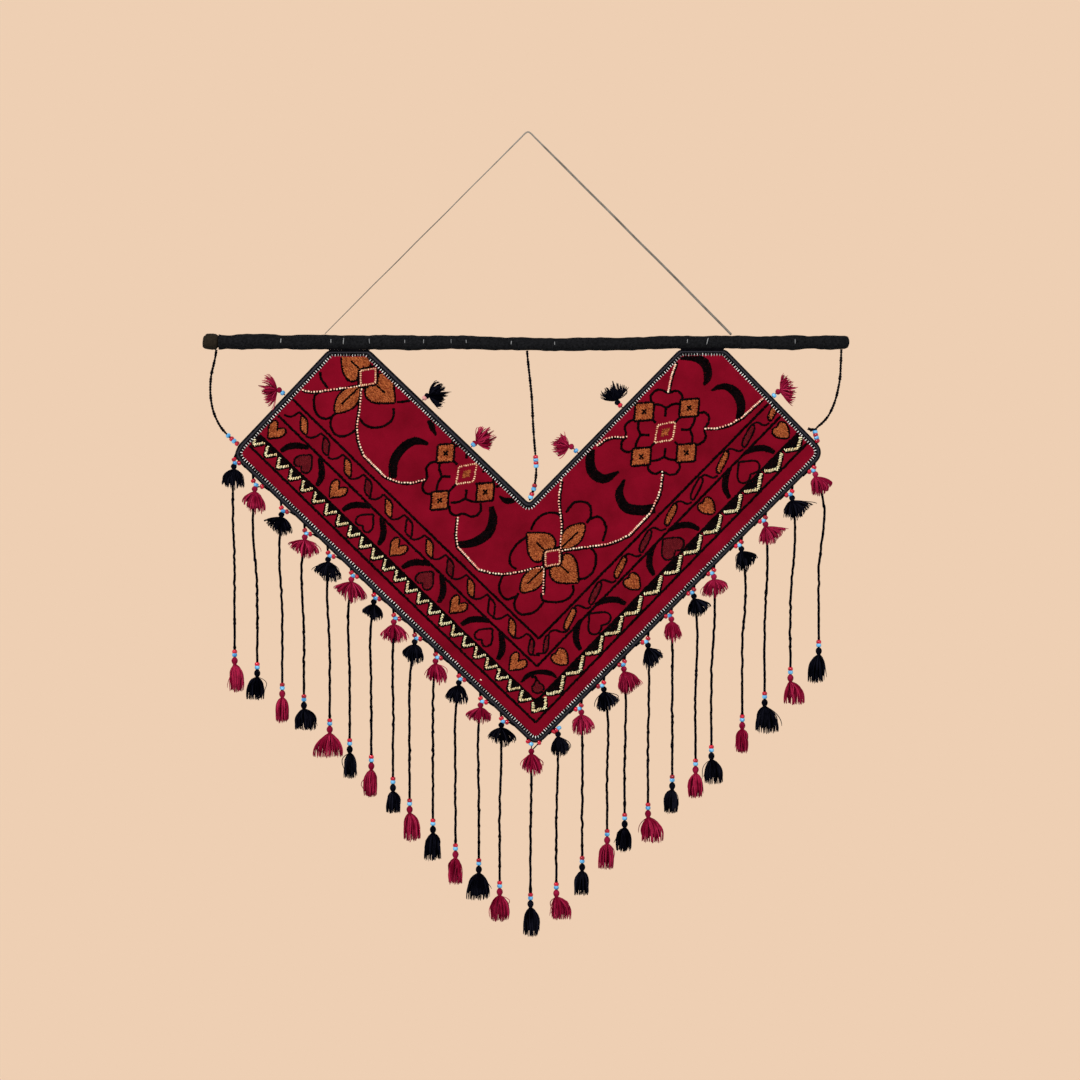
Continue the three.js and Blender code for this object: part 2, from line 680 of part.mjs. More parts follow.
DROPS.forEach((row, index) => {
  const drop = named(DROP_COLUMNS, row);
  const number = String(index + 1).padStart(2, '0');
  addSolid(`drop_${number}`, dropGeometry(drop), drop.colour);
});

export default group;
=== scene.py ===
"""Looks of an embroidered wall hanging and its rod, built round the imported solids.

A V-shaped band of crimson wool hangs by two flat tops from a cloth-covered stick. It is edged with a black
braid, worked with black, cream and orange thread, and hung with beaded tassels. Every shape is worked out in
millimetres, in the frame of the solids: X to the right, Z up, and the front towards -Y.
"""

import bpy
import numpy as np
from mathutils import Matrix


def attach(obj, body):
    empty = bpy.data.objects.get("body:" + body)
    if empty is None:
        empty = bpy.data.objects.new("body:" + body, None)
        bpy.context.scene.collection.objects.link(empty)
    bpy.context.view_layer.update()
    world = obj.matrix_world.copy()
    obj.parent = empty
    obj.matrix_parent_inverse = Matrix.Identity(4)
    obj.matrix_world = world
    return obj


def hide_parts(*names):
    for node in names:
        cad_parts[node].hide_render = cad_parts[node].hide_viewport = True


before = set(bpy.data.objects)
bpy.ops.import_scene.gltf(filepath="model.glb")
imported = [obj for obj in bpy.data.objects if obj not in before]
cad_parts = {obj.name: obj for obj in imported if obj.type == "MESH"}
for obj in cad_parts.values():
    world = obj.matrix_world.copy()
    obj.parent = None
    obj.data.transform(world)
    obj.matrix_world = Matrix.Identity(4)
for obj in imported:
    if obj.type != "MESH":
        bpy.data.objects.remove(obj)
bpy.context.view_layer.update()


# Camera: level and front on, far enough away that the view is nearly parallel, as in the photograph. Its
# frame is 1.3 m wide at the hanging.
VIEW_CENTRE = (0.0144, -0.4896)
VIEW_DISTANCE = 4.5
LENS = 125
SENSOR = 36
camera_data = bpy.data.cameras.new("front_camera")
camera_data.sensor_width = SENSOR
camera_data.lens = LENS
camera_data.clip_end = 60
camera = bpy.data.objects.new("front_camera", camera_data)
camera.location = (VIEW_CENTRE[0], -VIEW_DISTANCE, VIEW_CENTRE[1])
camera.rotation_euler = (np.pi / 2, 0, 0)
bpy.context.scene.collection.objects.link(camera)
bpy.context.scene.camera = camera


# Hanging cord: one thin twisted cord of pale wool, knotted round the rod at each side and bent over the
# hook. It is thin and olive at the left, palest at the top, and grey and thicker to the right; its left leg
# is darkened by painted shade.
CORD_TWIST = 5.0
LINE_PITCH = 0.8
CORD_ROUTE = [
    (-243.6, -1.2, -242.2), (-232, -1.2, -230.5), (-212, -1.1, -210.4), (-188, -1, -186.1),
    (-160, -0.9, -158.5), (-130, -0.7, -128.2), (-100, -0.5, -98.6), (-70, -0.4, -68.2),
    (-44, -0.2, -42.4), (-22, -0.1, -20.3), (-8, 0, -6.3), (-2.8, 0, -1.2), (-1, 0, -0.1), (1, 0, -0.1),
    (2.8, 0, -1.2), (8, 0, -6.3), (22, -0.1, -20.3), (44, -0.2, -42.2), (70, -0.4, -68.4),
    (100, -0.5, -98.1), (130, -0.7, -128.5), (160, -0.9, -158.2), (188, -1, -186.4),
    (212, -1.1, -210.8), (232, -1.2, -231), (243.6, -1.2, -242.9),
]


def lengths_along(line):
    """How far along a line each of its points lies: the running sum of the gaps between them."""
    return np.concatenate([[0], np.cumsum(np.linalg.norm(np.diff(line, axis=0), axis=1))])


def evened(line, pitch):
    """The same line with its points a pitch apart along it, its two ends kept."""
    along = lengths_along(line)
    stops = np.linspace(0, along[-1], max(2, int(round(along[-1] / pitch)) + 1))
    return np.stack([np.interp(stops, along, values) for values in line.T], axis=1)


def smooth_line(points, pitch):
    """A smooth line through a few points, with a point every pitch millimetres.

    Between two points it is a cubic whose slope at each is the mean of the slopes to its neighbours, weighted
    by their distances. The cubics are sampled closely and then evened out by length.
    """
    points = np.asarray(points, float)
    gaps = np.linalg.norm(np.diff(points, axis=0), axis=1)[:, None]
    slopes = np.diff(points, axis=0) / gaps
    inner = (slopes[:-1] * gaps[1:] + slopes[1:] * gaps[:-1]) / (gaps[1:] + gaps[:-1])
    slopes = np.concatenate([slopes[:1], inner, slopes[-1:]])
    t = np.linspace(0, 1, 12, endpoint=False)[:, None]
    shares = (2 * t**3 - 3 * t**2 + 1, t**3 - 2 * t**2 + t, 3 * t**2 - 2 * t**3, t**3 - t**2)
    parts = (points[:-1], slopes[:-1] * gaps, points[1:], slopes[1:] * gaps)
    curve = sum(share[None] * part[:, None] for share, part in zip(shares, parts))
    return evened(np.concatenate([curve.reshape(-1, points.shape[1]), points[-1:]]), pitch)


def unit(ways):
    """The same directions, each divided by its length."""
    return ways / np.maximum(np.linalg.norm(ways, axis=-1, keepdims=True), 1e-9)


def rings_along(lines):
    """Two directions square to each other and to each line at each of its points.

    The first is the cross product of the line's direction and the Y axis, the second completes the set.
    """
    along = unit(np.gradient(lines, axis=1))
    across = unit(np.cross(along, (0.0, 1.0, 0.0)))
    return across, np.cross(along, across)


def numbers_of(points):
    """The number of each point of a grid, counted row by row."""
    return np.arange(points[..., 0].size).reshape(points.shape[:-1])


def grid_faces(number, rows_meet=False, columns_meet=True, flipped=False):
    """Four-cornered faces over grids of point numbers. Rows or columns that meet run on to the first one."""
    if rows_meet:
        number = np.concatenate([number, number[..., :1, :]], axis=-2)
    if columns_meet:
        number = np.concatenate([number, number[..., :1]], axis=-1)
    right, below = number[..., :-1, 1:], number[..., 1:, :-1]
    if flipped:
        right, below = below, right
    return np.stack([number[..., :-1, :-1], right, number[..., 1:, 1:], below], axis=-1).reshape(-1, 4)


def tubes(lines, radii, sides):
    """Round tubes along many lines at once: line + radius (cos a, sin a) in the plane square to the line.

    Lines has the shape (tubes, stations, 3) and radii (tubes, stations). The ends are closed by flat caps.
    """
    lines = np.asarray(lines, float)
    radii = np.broadcast_to(radii, lines.shape[:2])
    across, up = rings_along(lines)
    angle = np.arange(sides) * 2 * np.pi / sides
    round_it = np.cos(angle)[:, None] * across[:, :, None] + np.sin(angle)[:, None] * up[:, :, None]
    points = lines[:, :, None] + radii[:, :, None, None] * round_it
    number = numbers_of(points)
    return points.reshape(-1, 3), [grid_faces(number), np.concatenate([number[:, 0, ::-1], number[:, -1]])]


def together(shapes):
    """One set of points and faces from several."""
    firsts = np.cumsum([0] + [len(points) for points, _ in shapes])
    faces = [face + first for (_, sets), first in zip(shapes, firsts) for face in sets]
    return np.concatenate([points for points, _ in shapes]), faces


def add_piece(name, shape, material, slot, stands_for=(), **values):
    """A piece from points in millimetres and faces. Values are named numbers, one for each point."""
    points, faces = shape
    corners = np.concatenate([face.ravel() for face in faces])
    sizes = np.concatenate([np.full(len(face), face.shape[1]) for face in faces])
    mesh = bpy.data.meshes.new(name)
    mesh.vertices.add(len(points))
    mesh.vertices.foreach_set("co", (points * 0.001).ravel())
    mesh.loops.add(len(corners))
    mesh.loops.foreach_set("vertex_index", corners.astype(np.int32))
    mesh.polygons.add(len(sizes))
    mesh.polygons.foreach_set("loop_start", (np.cumsum(sizes) - sizes).astype(np.int32))
    mesh.polygons.foreach_set("use_smooth", np.ones(len(sizes), bool))
    for key, numbers in values.items():
        attribute = mesh.attributes.new(key, "FLOAT", "POINT")
        attribute.data.foreach_set("value", np.asarray(numbers, np.float32))
    mesh.update(calc_edges=True)
    mesh.materials.append(material)
    piece = bpy.data.objects.new(name, mesh)
    bpy.context.scene.collection.objects.link(piece)
    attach(piece, "root")
    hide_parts(*stands_for)
    return piece


PLY_OUT = 0.48
PLY_RADIUS = 0.62


def plied(route, radius, plies, twist):
    """A twisted cord: each ply winds round the route, (cos, sin) of 2 pi (length / twist + its share)."""
    across, up = rings_along(route[None])
    turn = 2 * np.pi * (lengths_along(route) / twist + np.arange(plies)[:, None] / plies)
    wind = np.cos(turn)[..., None] * across + np.sin(turn)[..., None] * up
    return tubes(route + wind * (radius * PLY_OUT)[:, None], radius * PLY_RADIUS, 6)


def node(tree, kind, **settings):
    """A shader node with some of its inputs or settings filled in."""
    made = tree.nodes.new(kind)
    for key, value in settings.items():
        if key in made.inputs:
            made.inputs[key].default_value = value
        else:
            setattr(made, key, value)
    return made


def join(tree, *joints):
    """Joins shader nodes: each joint is a node, its output, the node that it feeds and that one's input."""
    for source, given, target, taken in joints:
        tree.links.new(source.outputs[given], target.inputs[taken])


def new_group(name, inputs, outputs):
    """An empty node group with named value or colour sockets."""
    group = bpy.data.node_groups.new(name, "ShaderNodeTree")
    for key, value in inputs.items():
        kind = "NodeSocketColor" if isinstance(value, tuple) else "NodeSocketFloat"
        group.interface.new_socket(key, in_out="INPUT", socket_type=kind).default_value = value
    for key, kind in outputs.items():
        group.interface.new_socket(key, in_out="OUTPUT", socket_type=kind)
    return group, group.nodes.new("NodeGroupInput"), group.nodes.new("NodeGroupOutput")


def new_material(name, **settings):
    """A material with its node tree and its shader, some of whose inputs are filled in."""
    material = bpy.data.materials.new(name)
    material.use_nodes = True
    shader = material.node_tree.nodes["Principled BSDF"]
    for key, value in settings.items():
        shader.inputs[key].default_value = value
    return material, material.node_tree, shader


# Spun fibre, for all yarn, thread and cloth: a colour that wanders between two tones, and a fine hairy height
fibre, fibre_in, fibre_out = new_group(
    "spun_fibre",
    {"Dark": (0, 0, 0, 1), "Light": (1, 1, 1, 1), "Tone": 0.5, "Patch Scale": 60.0, "Hair Scale": 1400.0},
    {"Color": "NodeSocketColor", "Height": "NodeSocketFloat"},
)
place = node(fibre, "ShaderNodeTexCoord")
patch = node(fibre, "ShaderNodeTexNoise", Detail=4.0, Roughness=0.6)
hair = node(fibre, "ShaderNodeTexNoise", Detail=3.0, Roughness=0.7)
NOISE_RANGE = {"From Min": 0.3, "From Max": 0.7}
spread = node(fibre, "ShaderNodeMapRange", **NOISE_RANGE, **{"To Min": -0.3, "To Max": 0.3})
speck = node(fibre, "ShaderNodeMapRange", **NOISE_RANGE, **{"To Min": -0.22, "To Max": 0.22})
both = node(fibre, "ShaderNodeMath", operation="ADD")
toned = node(fibre, "ShaderNodeMath", operation="ADD", use_clamp=True)
tint = node(fibre, "ShaderNodeMix", data_type="RGBA")
join(
    fibre,
    (place, "Object", patch, "Vector"), (place, "Object", hair, "Vector"),
    (fibre_in, "Patch Scale", patch, "Scale"), (fibre_in, "Hair Scale", hair, "Scale"),
    (patch, "Fac", spread, "Value"), (hair, "Fac", speck, "Value"),
    (spread, "Result", both, 0), (speck, "Result", both, 1),
    (both, 0, toned, 0), (fibre_in, "Tone", toned, 1), (toned, 0, tint, "Factor"),
    (fibre_in, "Dark", tint, "A"), (fibre_in, "Light", tint, "B"),
    (tint, "Result", fibre_out, "Color"), (hair, "Fac", fibre_out, "Height"),
)


def linear(red, green, blue):
    """A colour given as it looks on a screen, 0 to 255, in the linear values that shaders use."""
    shown = np.array([red, green, blue]) / 255
    value = np.where(shown <= 0.04045, shown / 12.92, ((shown + 0.055) / 1.055) ** 2.4)
    return (*value.tolist(), 1.0)


def fibre_finish(name, dark, light, roughness=0.9, shine=0.06, relief=0.3, patch_scale=60.0, toned_by=None):
    """A material of spun fibre. Toned_by names a value on the piece that runs from dark to light."""
    material, tree, shader = new_material(name, **{"Roughness": roughness, "Specular IOR Level": shine})
    look = node(
        tree, "ShaderNodeGroup", node_tree=fibre, Dark=linear(*dark), Light=linear(*light),
        **{"Patch Scale": patch_scale},
    )
    bump = node(tree, "ShaderNodeBump", Strength=relief, Distance=0.0004)
    join(tree, (look, "Color", shader, "Base Color"), (look, "Height", bump, "Height"),
         (bump, "Normal", shader, "Normal"))
    if toned_by:
        join(tree, (node(tree, "ShaderNodeAttribute", attribute_name=toned_by), "Fac", look, "Tone"))
    return material


cord_line = smooth_line(CORD_ROUTE, LINE_PITCH)
cord_radius = np.interp(cord_line[:, 0], [-230, -150, -50, 0, 40, 230], [0.5, 0.62, 0.65, 0.95, 1.28, 1.42])
cord_shape = plied(cord_line, cord_radius, 3, CORD_TWIST)
# Tone along the cord: painted shade darkens the middle of the left leg, and the cord is palest at the top.
fade = np.interp(cord_shape[0][:, 0], [-240, -150, -80, -10, 30, 240], [0.7, 0.45, 0.7, 1.0, 0.72, 0.62])
cord_wool = fibre_finish("shaded_cord_wool", (30, 27, 20), (140, 132, 122), relief=0.5, toned_by="fade")
hanging_cord = add_piece(
    "hanging_cord_twisted", cord_shape, cord_wool, "grey_cord", ["hanging_cord"], fade=fade
)


# Beads: small seed beads of red and blue glass, a little longer than round, each with a hole for its thread.
# They are strung on the ties, at the side tassels and above every tassel of the drops.
BEAD_RADIUS = 3.2
BEAD_HOLE = 0.6
BEAD_HALF = 2.3
BEAD_SIDES = 10
BEAD_CORNERS = 7


def beads(places, axes):
    """Closed rings: a section (r, h) = (middle + half cos b, BEAD_HALF sin b) turned round the thread."""
    axes = unit(np.asarray(axes, float))
    across = unit(np.cross(axes, (0.0, 1.0, 0.0)))
    up = np.cross(axes, across)
    turn = np.arange(BEAD_SIDES)[:, None] * 2 * np.pi / BEAD_SIDES
    section = np.arange(BEAD_CORNERS)[None] * 2 * np.pi / BEAD_CORNERS
    radius = (BEAD_RADIUS + BEAD_HOLE) / 2 + (BEAD_RADIUS - BEAD_HOLE) / 2 * np.cos(section)
    out = (radius * np.cos(turn))[..., None] * across[:, None, None]
    out = out + (radius * np.sin(turn))[..., None] * up[:, None, None]
    rise = (BEAD_HALF * np.sin(section) + 0 * turn)[..., None] * axes[:, None, None]
    points = np.asarray(places, float)[:, None, None] + out + rise
    return points.reshape(-1, 3), [grid_faces(numbers_of(points), rows_meet=True, flipped=True)]


def glass_finish(name, dark, light):
    """Bright glass: its colour wanders between two tones from bead to bead, under a clear coat."""
    material, tree, shader = new_material(
        name, **{"Roughness": 0.18, "Specular IOR Level": 0.3, "Coat Weight": 0.2, "Coat Roughness": 0.05},
    )
    place = node(tree, "ShaderNodeTexCoord")
    tone = node(tree, "ShaderNodeTexNoise", Scale=170.0, Detail=1.0)
    tint = node(tree, "ShaderNodeMix", data_type="RGBA", A=linear(*dark), B=linear(*light))
    spread = node(tree, "ShaderNodeMapRange", **{"From Min": 0.35, "From Max": 0.65})
    join(tree, (place, "Object", tone, "Vector"), (tone, "Fac", spread, "Value"),
         (spread, "Result", tint, "Factor"), (tint, "Result", shader, "Base Color"))
    return material


red_glass = glass_finish("red_glass", (138, 0, 24), (204, 10, 44))
blue_glass = glass_finish("blue_glass", (52, 128, 182), (120, 192, 232))
pink_glass = glass_finish("pink_glass", (190, 120, 118), (222, 158, 150))


# Ties: black wool yarn, knotted to the rod above and sewn to the binding below, with red and blue beads near
# the cloth and small knots on the way. The middle one reaches down to the notch.
TIE_DIAMETER = 2.4
TIES = {
    "tie_left": {
        "route": [
            (-374, 0, -261.5), (-375, 0, -268.8), (-377, -0.1, -278.4), (-379.6, -0.2, -289.2),
            (-380.9, -0.3, -300), (-381.2, -0.3, -310.8), (-380, -0.2, -324), (-377.3, -0.1, -336),
            (-373.4, 0.1, -345.6), (-368.2, 0.3, -354.8), (-362.4, 0.5, -361.6), (-357.9, 0.7, -366),
            (-354, 0.8, -369.8), (-350.6, 0.9, -372.8), (-347.9, 0.9, -374.8),
        ],
        "knots": [(-289, 2.4)],
        "red": [-368.2, -373.9],
        "blue": [-364.2, -370.8],
    },
    "tie_middle": {
        "route": [
            (-1.2, 0, -262.8), (-0.4, 0, -271.2), (0.8, 0.1, -283.2), (2.2, 0.2, -295.2), (3.3, 0.3, -306),
            (4.4, 0.4, -316.8), (5.1, 0.5, -328.8), (5.6, 0.6, -339.6), (6.1, 0.7, -350.4),
            (6.8, 0.8, -361.2), (7.6, 0.9, -372), (8.4, 1, -381.6), (9.2, 1, -391.2), (9.8, 1.1, -402),
            (9.6, 1.1, -412), (8.6, 1.2, -420), (6.9, 1.2, -428.4), (4.6, 1.2, -434.6), (1.8, 1.2, -441.9),
        ],
        "knots": [(-279.6, 1.9), (-304.8, 2.0), (-309.6, 1.9), (-340.8, 2.2)],
        "red": [-390, -397.2, -424.3, -434.6],
        "blue": [-393.6, -400.8, -428.4, -438.4],
    },
    "tie_right": {
        "route": [
            (376, 0, -261.1), (375.7, 0, -270), (375.2, -0.1, -282), (374.4, -0.2, -295.4),
            (372.6, -0.3, -306), (369.6, -0.4, -319), (365.2, -0.4, -331.2), (359.4, -0.5, -342),
            (352.6, -0.5, -349.6), (347, -0.6, -354.4), (344.6, -0.6, -358), (344.8, -0.6, -362.4),
            (346.2, -0.6, -367), (347.7, -0.7, -373.4),
        ],
        "knots": [(-296.2, 2.3)],
        "red": [-363.4, -370.7],
        "blue": [-360, -367],
    },
}
RIGHT_END_KNOT = [(344.0, -0.6, -357.6), (341.2, -0.9, -357.0), (338.4, -0.9, -357.2)]
YARN_TWIST = 6.5
YARN_SWELL = 1.25
KNOT_YARN_RADIUS = 0.95


def knot(place, size, seed):
    """A small knot: three turns of yarn round its place, each a ring tipped a different way."""
    turn = np.linspace(0, 2 * np.pi, 13)
    tips = np.random.default_rng(seed).uniform(0, np.pi, (3, 1))
    ring = np.stack([
        np.cos(turn) * np.cos(tips), 0.9 * np.sin(turn) + 0 * tips, np.cos(turn) * np.sin(tips),
    ], axis=-1)
    return tubes(np.asarray(place) + ring * (size - 0.8), KNOT_YARN_RADIUS, 6)


def at_height(z, line, values):
    """What each value of a falling line's points is at a height, read off between the two nearest."""
    return [np.interp(-z, -line[:, 2], value) for value in values.T]


black_yarn = fibre_finish("black_wool_yarn", (2, 2, 3), (20, 18, 22), shine=0.0, relief=0.4)
for number, (name, tie) in enumerate(TIES.items()):
    line = smooth_line(tie["route"], LINE_PITCH)
    lean = np.gradient(line, axis=0)
    for colour, finish in (("red", red_glass), ("blue", blue_glass)):
        places = [at_height(z, line, line) for z in tie[colour]]
        shape = beads(places, [at_height(z, line, lean) for z in tie[colour]])
        add_piece(f"{name}_{colour}_beads", shape, finish, f"{colour}_bead")
    knots = [
        knot(at_height(z, line, line), size, 7 * number + turn) for turn, (z, size) in enumerate(tie["knots"])
    ]
    if name == "tie_right":
        tail = smooth_line(RIGHT_END_KNOT, LINE_PITCH)
        knots += [plied(tail, np.full(len(tail), 1.8), 2, CORD_TWIST), knot(RIGHT_END_KNOT[-1], 3.3, 40)]
    add_piece(f"{name}_knots", together(knots), black_yarn, "black_yarn")
    steps = np.arange(len(line))
    kinks = 1 + 0.2 * np.sin(steps * 0.37 + number) * np.sin(steps * 0.11)
    shape = plied(line, TIE_DIAMETER / 2 * YARN_SWELL * kinks, 2, YARN_TWIST)
    tie_yarn = add_piece(f"{name}_yarn", shape, black_yarn, "black_yarn", [name])


# Rod: a straight peeled stick. Only its worn, bumpy left end shows, and the rest lies in the sleeve.
STICK_STATIONS = [
    (-390.0, 4.6, -250.6), (-389.2, 6.6, -250.7), (-388.0, 8.1, -251.0), (-386.0, 9.2, -251.2),
    (-382.0, 9.6, -251.4), (-378.0, 9.8, -251.6), (-375.0, 9.4, -251.8), (-373.0, 8.6, -251.9),
    (-371.6, 6.4, -252.0), (-366.0, 6.1, -252.0), (-180.0, 6.1, -252.4), (0.0, 6.1, -254.4),
    (180.0, 6.1, -252.4), (378.0, 6.1, -252.2),
]
SLEEVE_START = -371
WEAR = 0.32
stations = np.array(STICK_STATIONS)
fine = np.concatenate([np.linspace(-390, -366, 40), np.linspace(-350, 378, 30)])
line = np.stack([fine, 0 * fine, np.interp(fine, stations[:, 0], stations[:, 2])], axis=1)
points, faces = tubes(line[None], np.interp(fine, stations[:, 0], stations[:, 1])[None], 28)
rough = np.sin(points[:, 0] * 1.9 + 2.2 * np.sin(points[:, 1])) * np.sin(points[:, 2] * 1.3 + points[:, 1])
points[:, 1:] += rough[:, None] * np.where(points[:, 0] < SLEEVE_START, WEAR, 0)[:, None] * [[0.6, 1.0]]
stick_wood = fibre_finish(
    "worn_stick", (8, 6, 4), (48, 40, 30), roughness=0.75, relief=0.9, patch_scale=420.0
)
add_piece("rod_stick", (points, faces), stick_wood, "rod_wood", ["rod"])


# Rod sleeve: black cloth wrapped round the stick and sewn, lumpy where it overlaps and gathered shut at the
# right end. A few pale stitches show on its front.
SLEEVE_STATIONS = [
    (-371, 9.3, -252.0), (-361, 8.5, -252.0), (-344, 9.4, -251.9), (-318, 9.6, -251.5), (-290, 8.5, -252.0),
    (-262, 9.5, -252.2), (-245, 8.9, -252.4), (-185, 8.9, -252.4), (-140, 9.3, -253.0), (-108, 8.4, -252.4),
    (-60, 8.4, -252.9), (-30, 8.0, -253.9), (24, 7.9, -255.0), (62, 8.2, -254.7), (100, 8.0, -254.6),
    (140, 7.9, -253.4), (177, 8.1, -252.4), (241, 8.1, -252.4), (290, 7.9, -252.6), (317, 9.4, -253.0),
    (335, 7.9, -252.6), (366, 8.9, -252.4), (380, 8.3, -252.2), (384, 6.6, -252.0), (385.5, 2.4, -252.0),
]
# Pale stitches: x, how long, and how far it slants
SLEEVE_STITCHES = [
    (-296, 5.5, 0.3), (-236, 4.5, 0.0), (-221, 8.0, 0.6), (-190, 6.0, -0.6), (-147.6, 3.6, 0.0),
    (-125, 4.5, 0.2), (-92, 5.0, 0.0), (-74, 4.0, -0.3), (-20, 4.5, 0.3), (32, 4.5, 0.0), (191, 5.0, 0.5),
    (215, 9.0, 2.0), (320, 5.0, 0.0),
]
SLEEVE_END = 385.5
SLEEVE_WALL = 1.9
SLEEVE_RINGS = 560
SLEEVE_SIDES = 36
PALE_THREAD_RADIUS = 0.5
stations = np.array(SLEEVE_STATIONS)


def sleeve_skin(x, angle):
    """How far the wrapped cloth stands off its even radius: lumps, slanting wrinkles and a seam fold."""
    lumps = 0.28 * np.sin(x / 13.0 + 1.7 * np.sin(angle)) + 0.26 * np.sin(x / 5.3 - 2 * angle)
    wrinkles = 0.22 * np.sin(x / 2.1 + 3 * angle) * np.sin(x / 17.0 + 2 * angle)
    seam = 0.45 * np.exp(-(((angle - 3.6 + 0.15 * np.sin(x / 40.0)) / 0.16) ** 2))
    return lumps + wrinkles + seam - 0.25


def on_sleeve(x, angle, out):
    """The point at x and an angle round the sleeve, 0 at the front and a quarter turn at the top."""
    reach = np.interp(x, stations[:, 0], stations[:, 1]) + out
    height = np.interp(x, stations[:, 0], stations[:, 2]) + reach * np.sin(angle)
    return np.stack([x + 0 * angle, -reach * np.cos(angle) + 0 * x, height], axis=-1)


x = np.linspace(SLEEVE_START, SLEEVE_END, SLEEVE_RINGS)
x, angle = np.meshgrid(x, np.arange(SLEEVE_SIDES) * 2 * np.pi / SLEEVE_SIDES, indexing="ij")
ends = np.interp(x, [SLEEVE_START, -368, 380, SLEEVE_END], [0, 1, 1, 0])
points = np.concatenate([
    on_sleeve(x[:1] + 6, angle[:1], -SLEEVE_WALL), on_sleeve(x[:1], angle[:1], -SLEEVE_WALL),
    on_sleeve(x, angle, sleeve_skin(x, angle) * ends),
])
number = numbers_of(points)
faces = [grid_faces(number, flipped=True), np.stack([number[0], number[-1, ::-1]])]
sleeve_cloth = fibre_finish(
    "black_sleeve_cloth", (0, 0, 0), (33, 33, 35), shine=0.02, relief=1.0, patch_scale=420.0
)
add_piece("rod_sleeve_cloth", (points.reshape(-1, 3), faces), sleeve_cloth, "sleeve_cloth", ["rod_sleeve"])
stitch = np.array(SLEEVE_STITCHES)
share = np.linspace(-0.5, 0.5, 6)
sweep = 0.12 + share * stitch[:, 1:2] / 9.0
lift = np.where(np.abs(share) == 0.5, -0.2, 0.35)
lines = on_sleeve(stitch[:, :1] + share * stitch[:, 2:3], sweep, lift)
pale_thread = fibre_finish("pale_thread", (70, 72, 76), (166, 166, 164))
add_piece("sleeve_stitches", tubes(lines, PALE_THREAD_RADIUS, 5), pale_thread, "white_thread")


# Cloth: one piece of soft crimson wool, cut as a broad V and hung by its two flat tops. It waves a little in
# and out and puckers along the sewn lines. A corner has its place and how far its rounding reaches along the
# sides.
LEFT_TOP_Z = -261.7
RIGHT_TOP_Z = -260.9
CORNERS = [
    (-356.5, -384.5, 17), (10, -736.5, 14), (356.5, -384.5, 17), (236, RIGHT_TOP_Z, 5),
    (181.5, RIGHT_TOP_Z, 5), (1.5, -445, 4), (-189.5, LEFT_TOP_Z, 5), (-240.5, LEFT_TOP_Z, 5),
]
CORNER_PLACES = np.array(CORNERS, float)[:, :2]
SIDE_WAYS = np.roll(CORNER_PLACES, -1, axis=0) - CORNER_PLACES
CLOTH_THICKNESS = 2.4
UNDER_BINDING = 5.6
CLOTH_COLUMNS = (40, 16, 64, 60, 16, 40)
CLOTH_ROWS = 49
WAVE_DEPTH = 1.7
WAVE_LENGTH = 310
WAVE_FADE = 110
TIP = CORNER_PLACES[1]
ARM_ENDS = {"left": CORNER_PLACES[0], "right": CORNER_PLACES[2]}


def wave_at(x, z):
    """How far out of its plane the cloth lies: one slow wave along X, which fades out towards the rod."""
    fade = np.clip((LEFT_TOP_Z - z) / WAVE_FADE, 0, 1)
    return WAVE_DEPTH * fade * np.sin(2 * np.pi * x / WAVE_LENGTH + 0.7)


def pucker_at(x, z):
    """The small unevenness of sewn cloth: three crossing ripples of different lengths."""
    slow = 0.22 * np.sin(x / 9.1 + 1.3 * np.sin(z / 21.0)) * np.sin(z / 11.3)
    return slow + 0.12 * np.sin((x + z) / 5.2) * np.sin((x - z) / 7.7)


def left_of(ways):
    """Directions in the plane of the cloth, each turned to the left by a quarter turn."""
    return np.stack([-ways[..., 1], ways[..., 0]], axis=-1)


def moved_in(distances):
    """The V's eight corners once each side has moved inwards by its own distance: where neighbours meet."""
    inward = left_of(unit(SIDE_WAYS))
    distances = np.broadcast_to(distances, len(CORNERS))
    pair = np.stack([np.roll(inward, 1, axis=0), inward], axis=1)
    both = np.stack([np.roll(distances, 1), distances], axis=1)
    return CORNER_PLACES + np.linalg.solve(pair, both[..., None])[..., 0]


corner = moved_in(UNDER_BINDING)
stops = [corner[0, 0] + 3, *corner[7:2:-1, 0], corner[2, 0] - 3]
columns = [
    np.linspace(start, end, count, endpoint=False)
    for start, end, count in zip(stops, stops[1:], CLOTH_COLUMNS)
]
columns = np.concatenate(columns + [stops[-1:]])
upper = corner[[0, 7, 6, 5, 4, 3, 2]]
low = np.interp(columns, corner[:3, 0], corner[:3, 1])
high = np.interp(columns, upper[:, 0], upper[:, 1])
down = np.linspace(0, 1, CLOTH_ROWS)
x = columns[:, None] + 0 * down
z = high[:, None] + (low - high)[:, None] * down
middle = wave_at(x, z) + pucker_at(x, z)
front = np.stack([x, middle - CLOTH_THICKNESS / 2, z], axis=-1)
back = np.stack([x, middle + CLOTH_THICKNESS / 2, z], axis=-1)
wrap = np.concatenate([front, back[:, ::-1]], axis=1)
number = numbers_of(wrap)
faces = [grid_faces(number)]
half = wrap.shape[1] // 2
for ring, way in ((number[0], 1), (number[-1], -1)):
    near, far = ring[:half], ring[:half - 1:-1]
    faces.append(np.stack([near[:-1], far[:-1], far[1:], near[1:]], axis=1)[:, ::way])
crimson = fibre_finish(
    "crimson_wool", (91, 1, 16), (126, 5, 30), roughness=0.95, relief=0.5, patch_scale=28.0
)
cloth = add_piece("cloth_crimson", (wrap.reshape(-1, 3), faces), crimson, "crimson_cloth", ["cloth"])


# Binding: a black woven braid folded over the whole edge of the cloth. It has a rolled black rim, a grey
# ribbed middle and a flat inner border, which a row of white whip stitches holds down.
BRAID = [
    (0.0, 0.0), (0.15, -0.9), (0.6, -1.6), (1.2, -1.85), (1.75, -1.6), (2.0, -1.45), (2.4, -1.9), (3.0, -2.1),
    (3.5, -1.95), (3.9, -1.5), (4.6, -1.65), (6.2, -1.6), (7.0, -1.35), (7.3, -0.7),
]
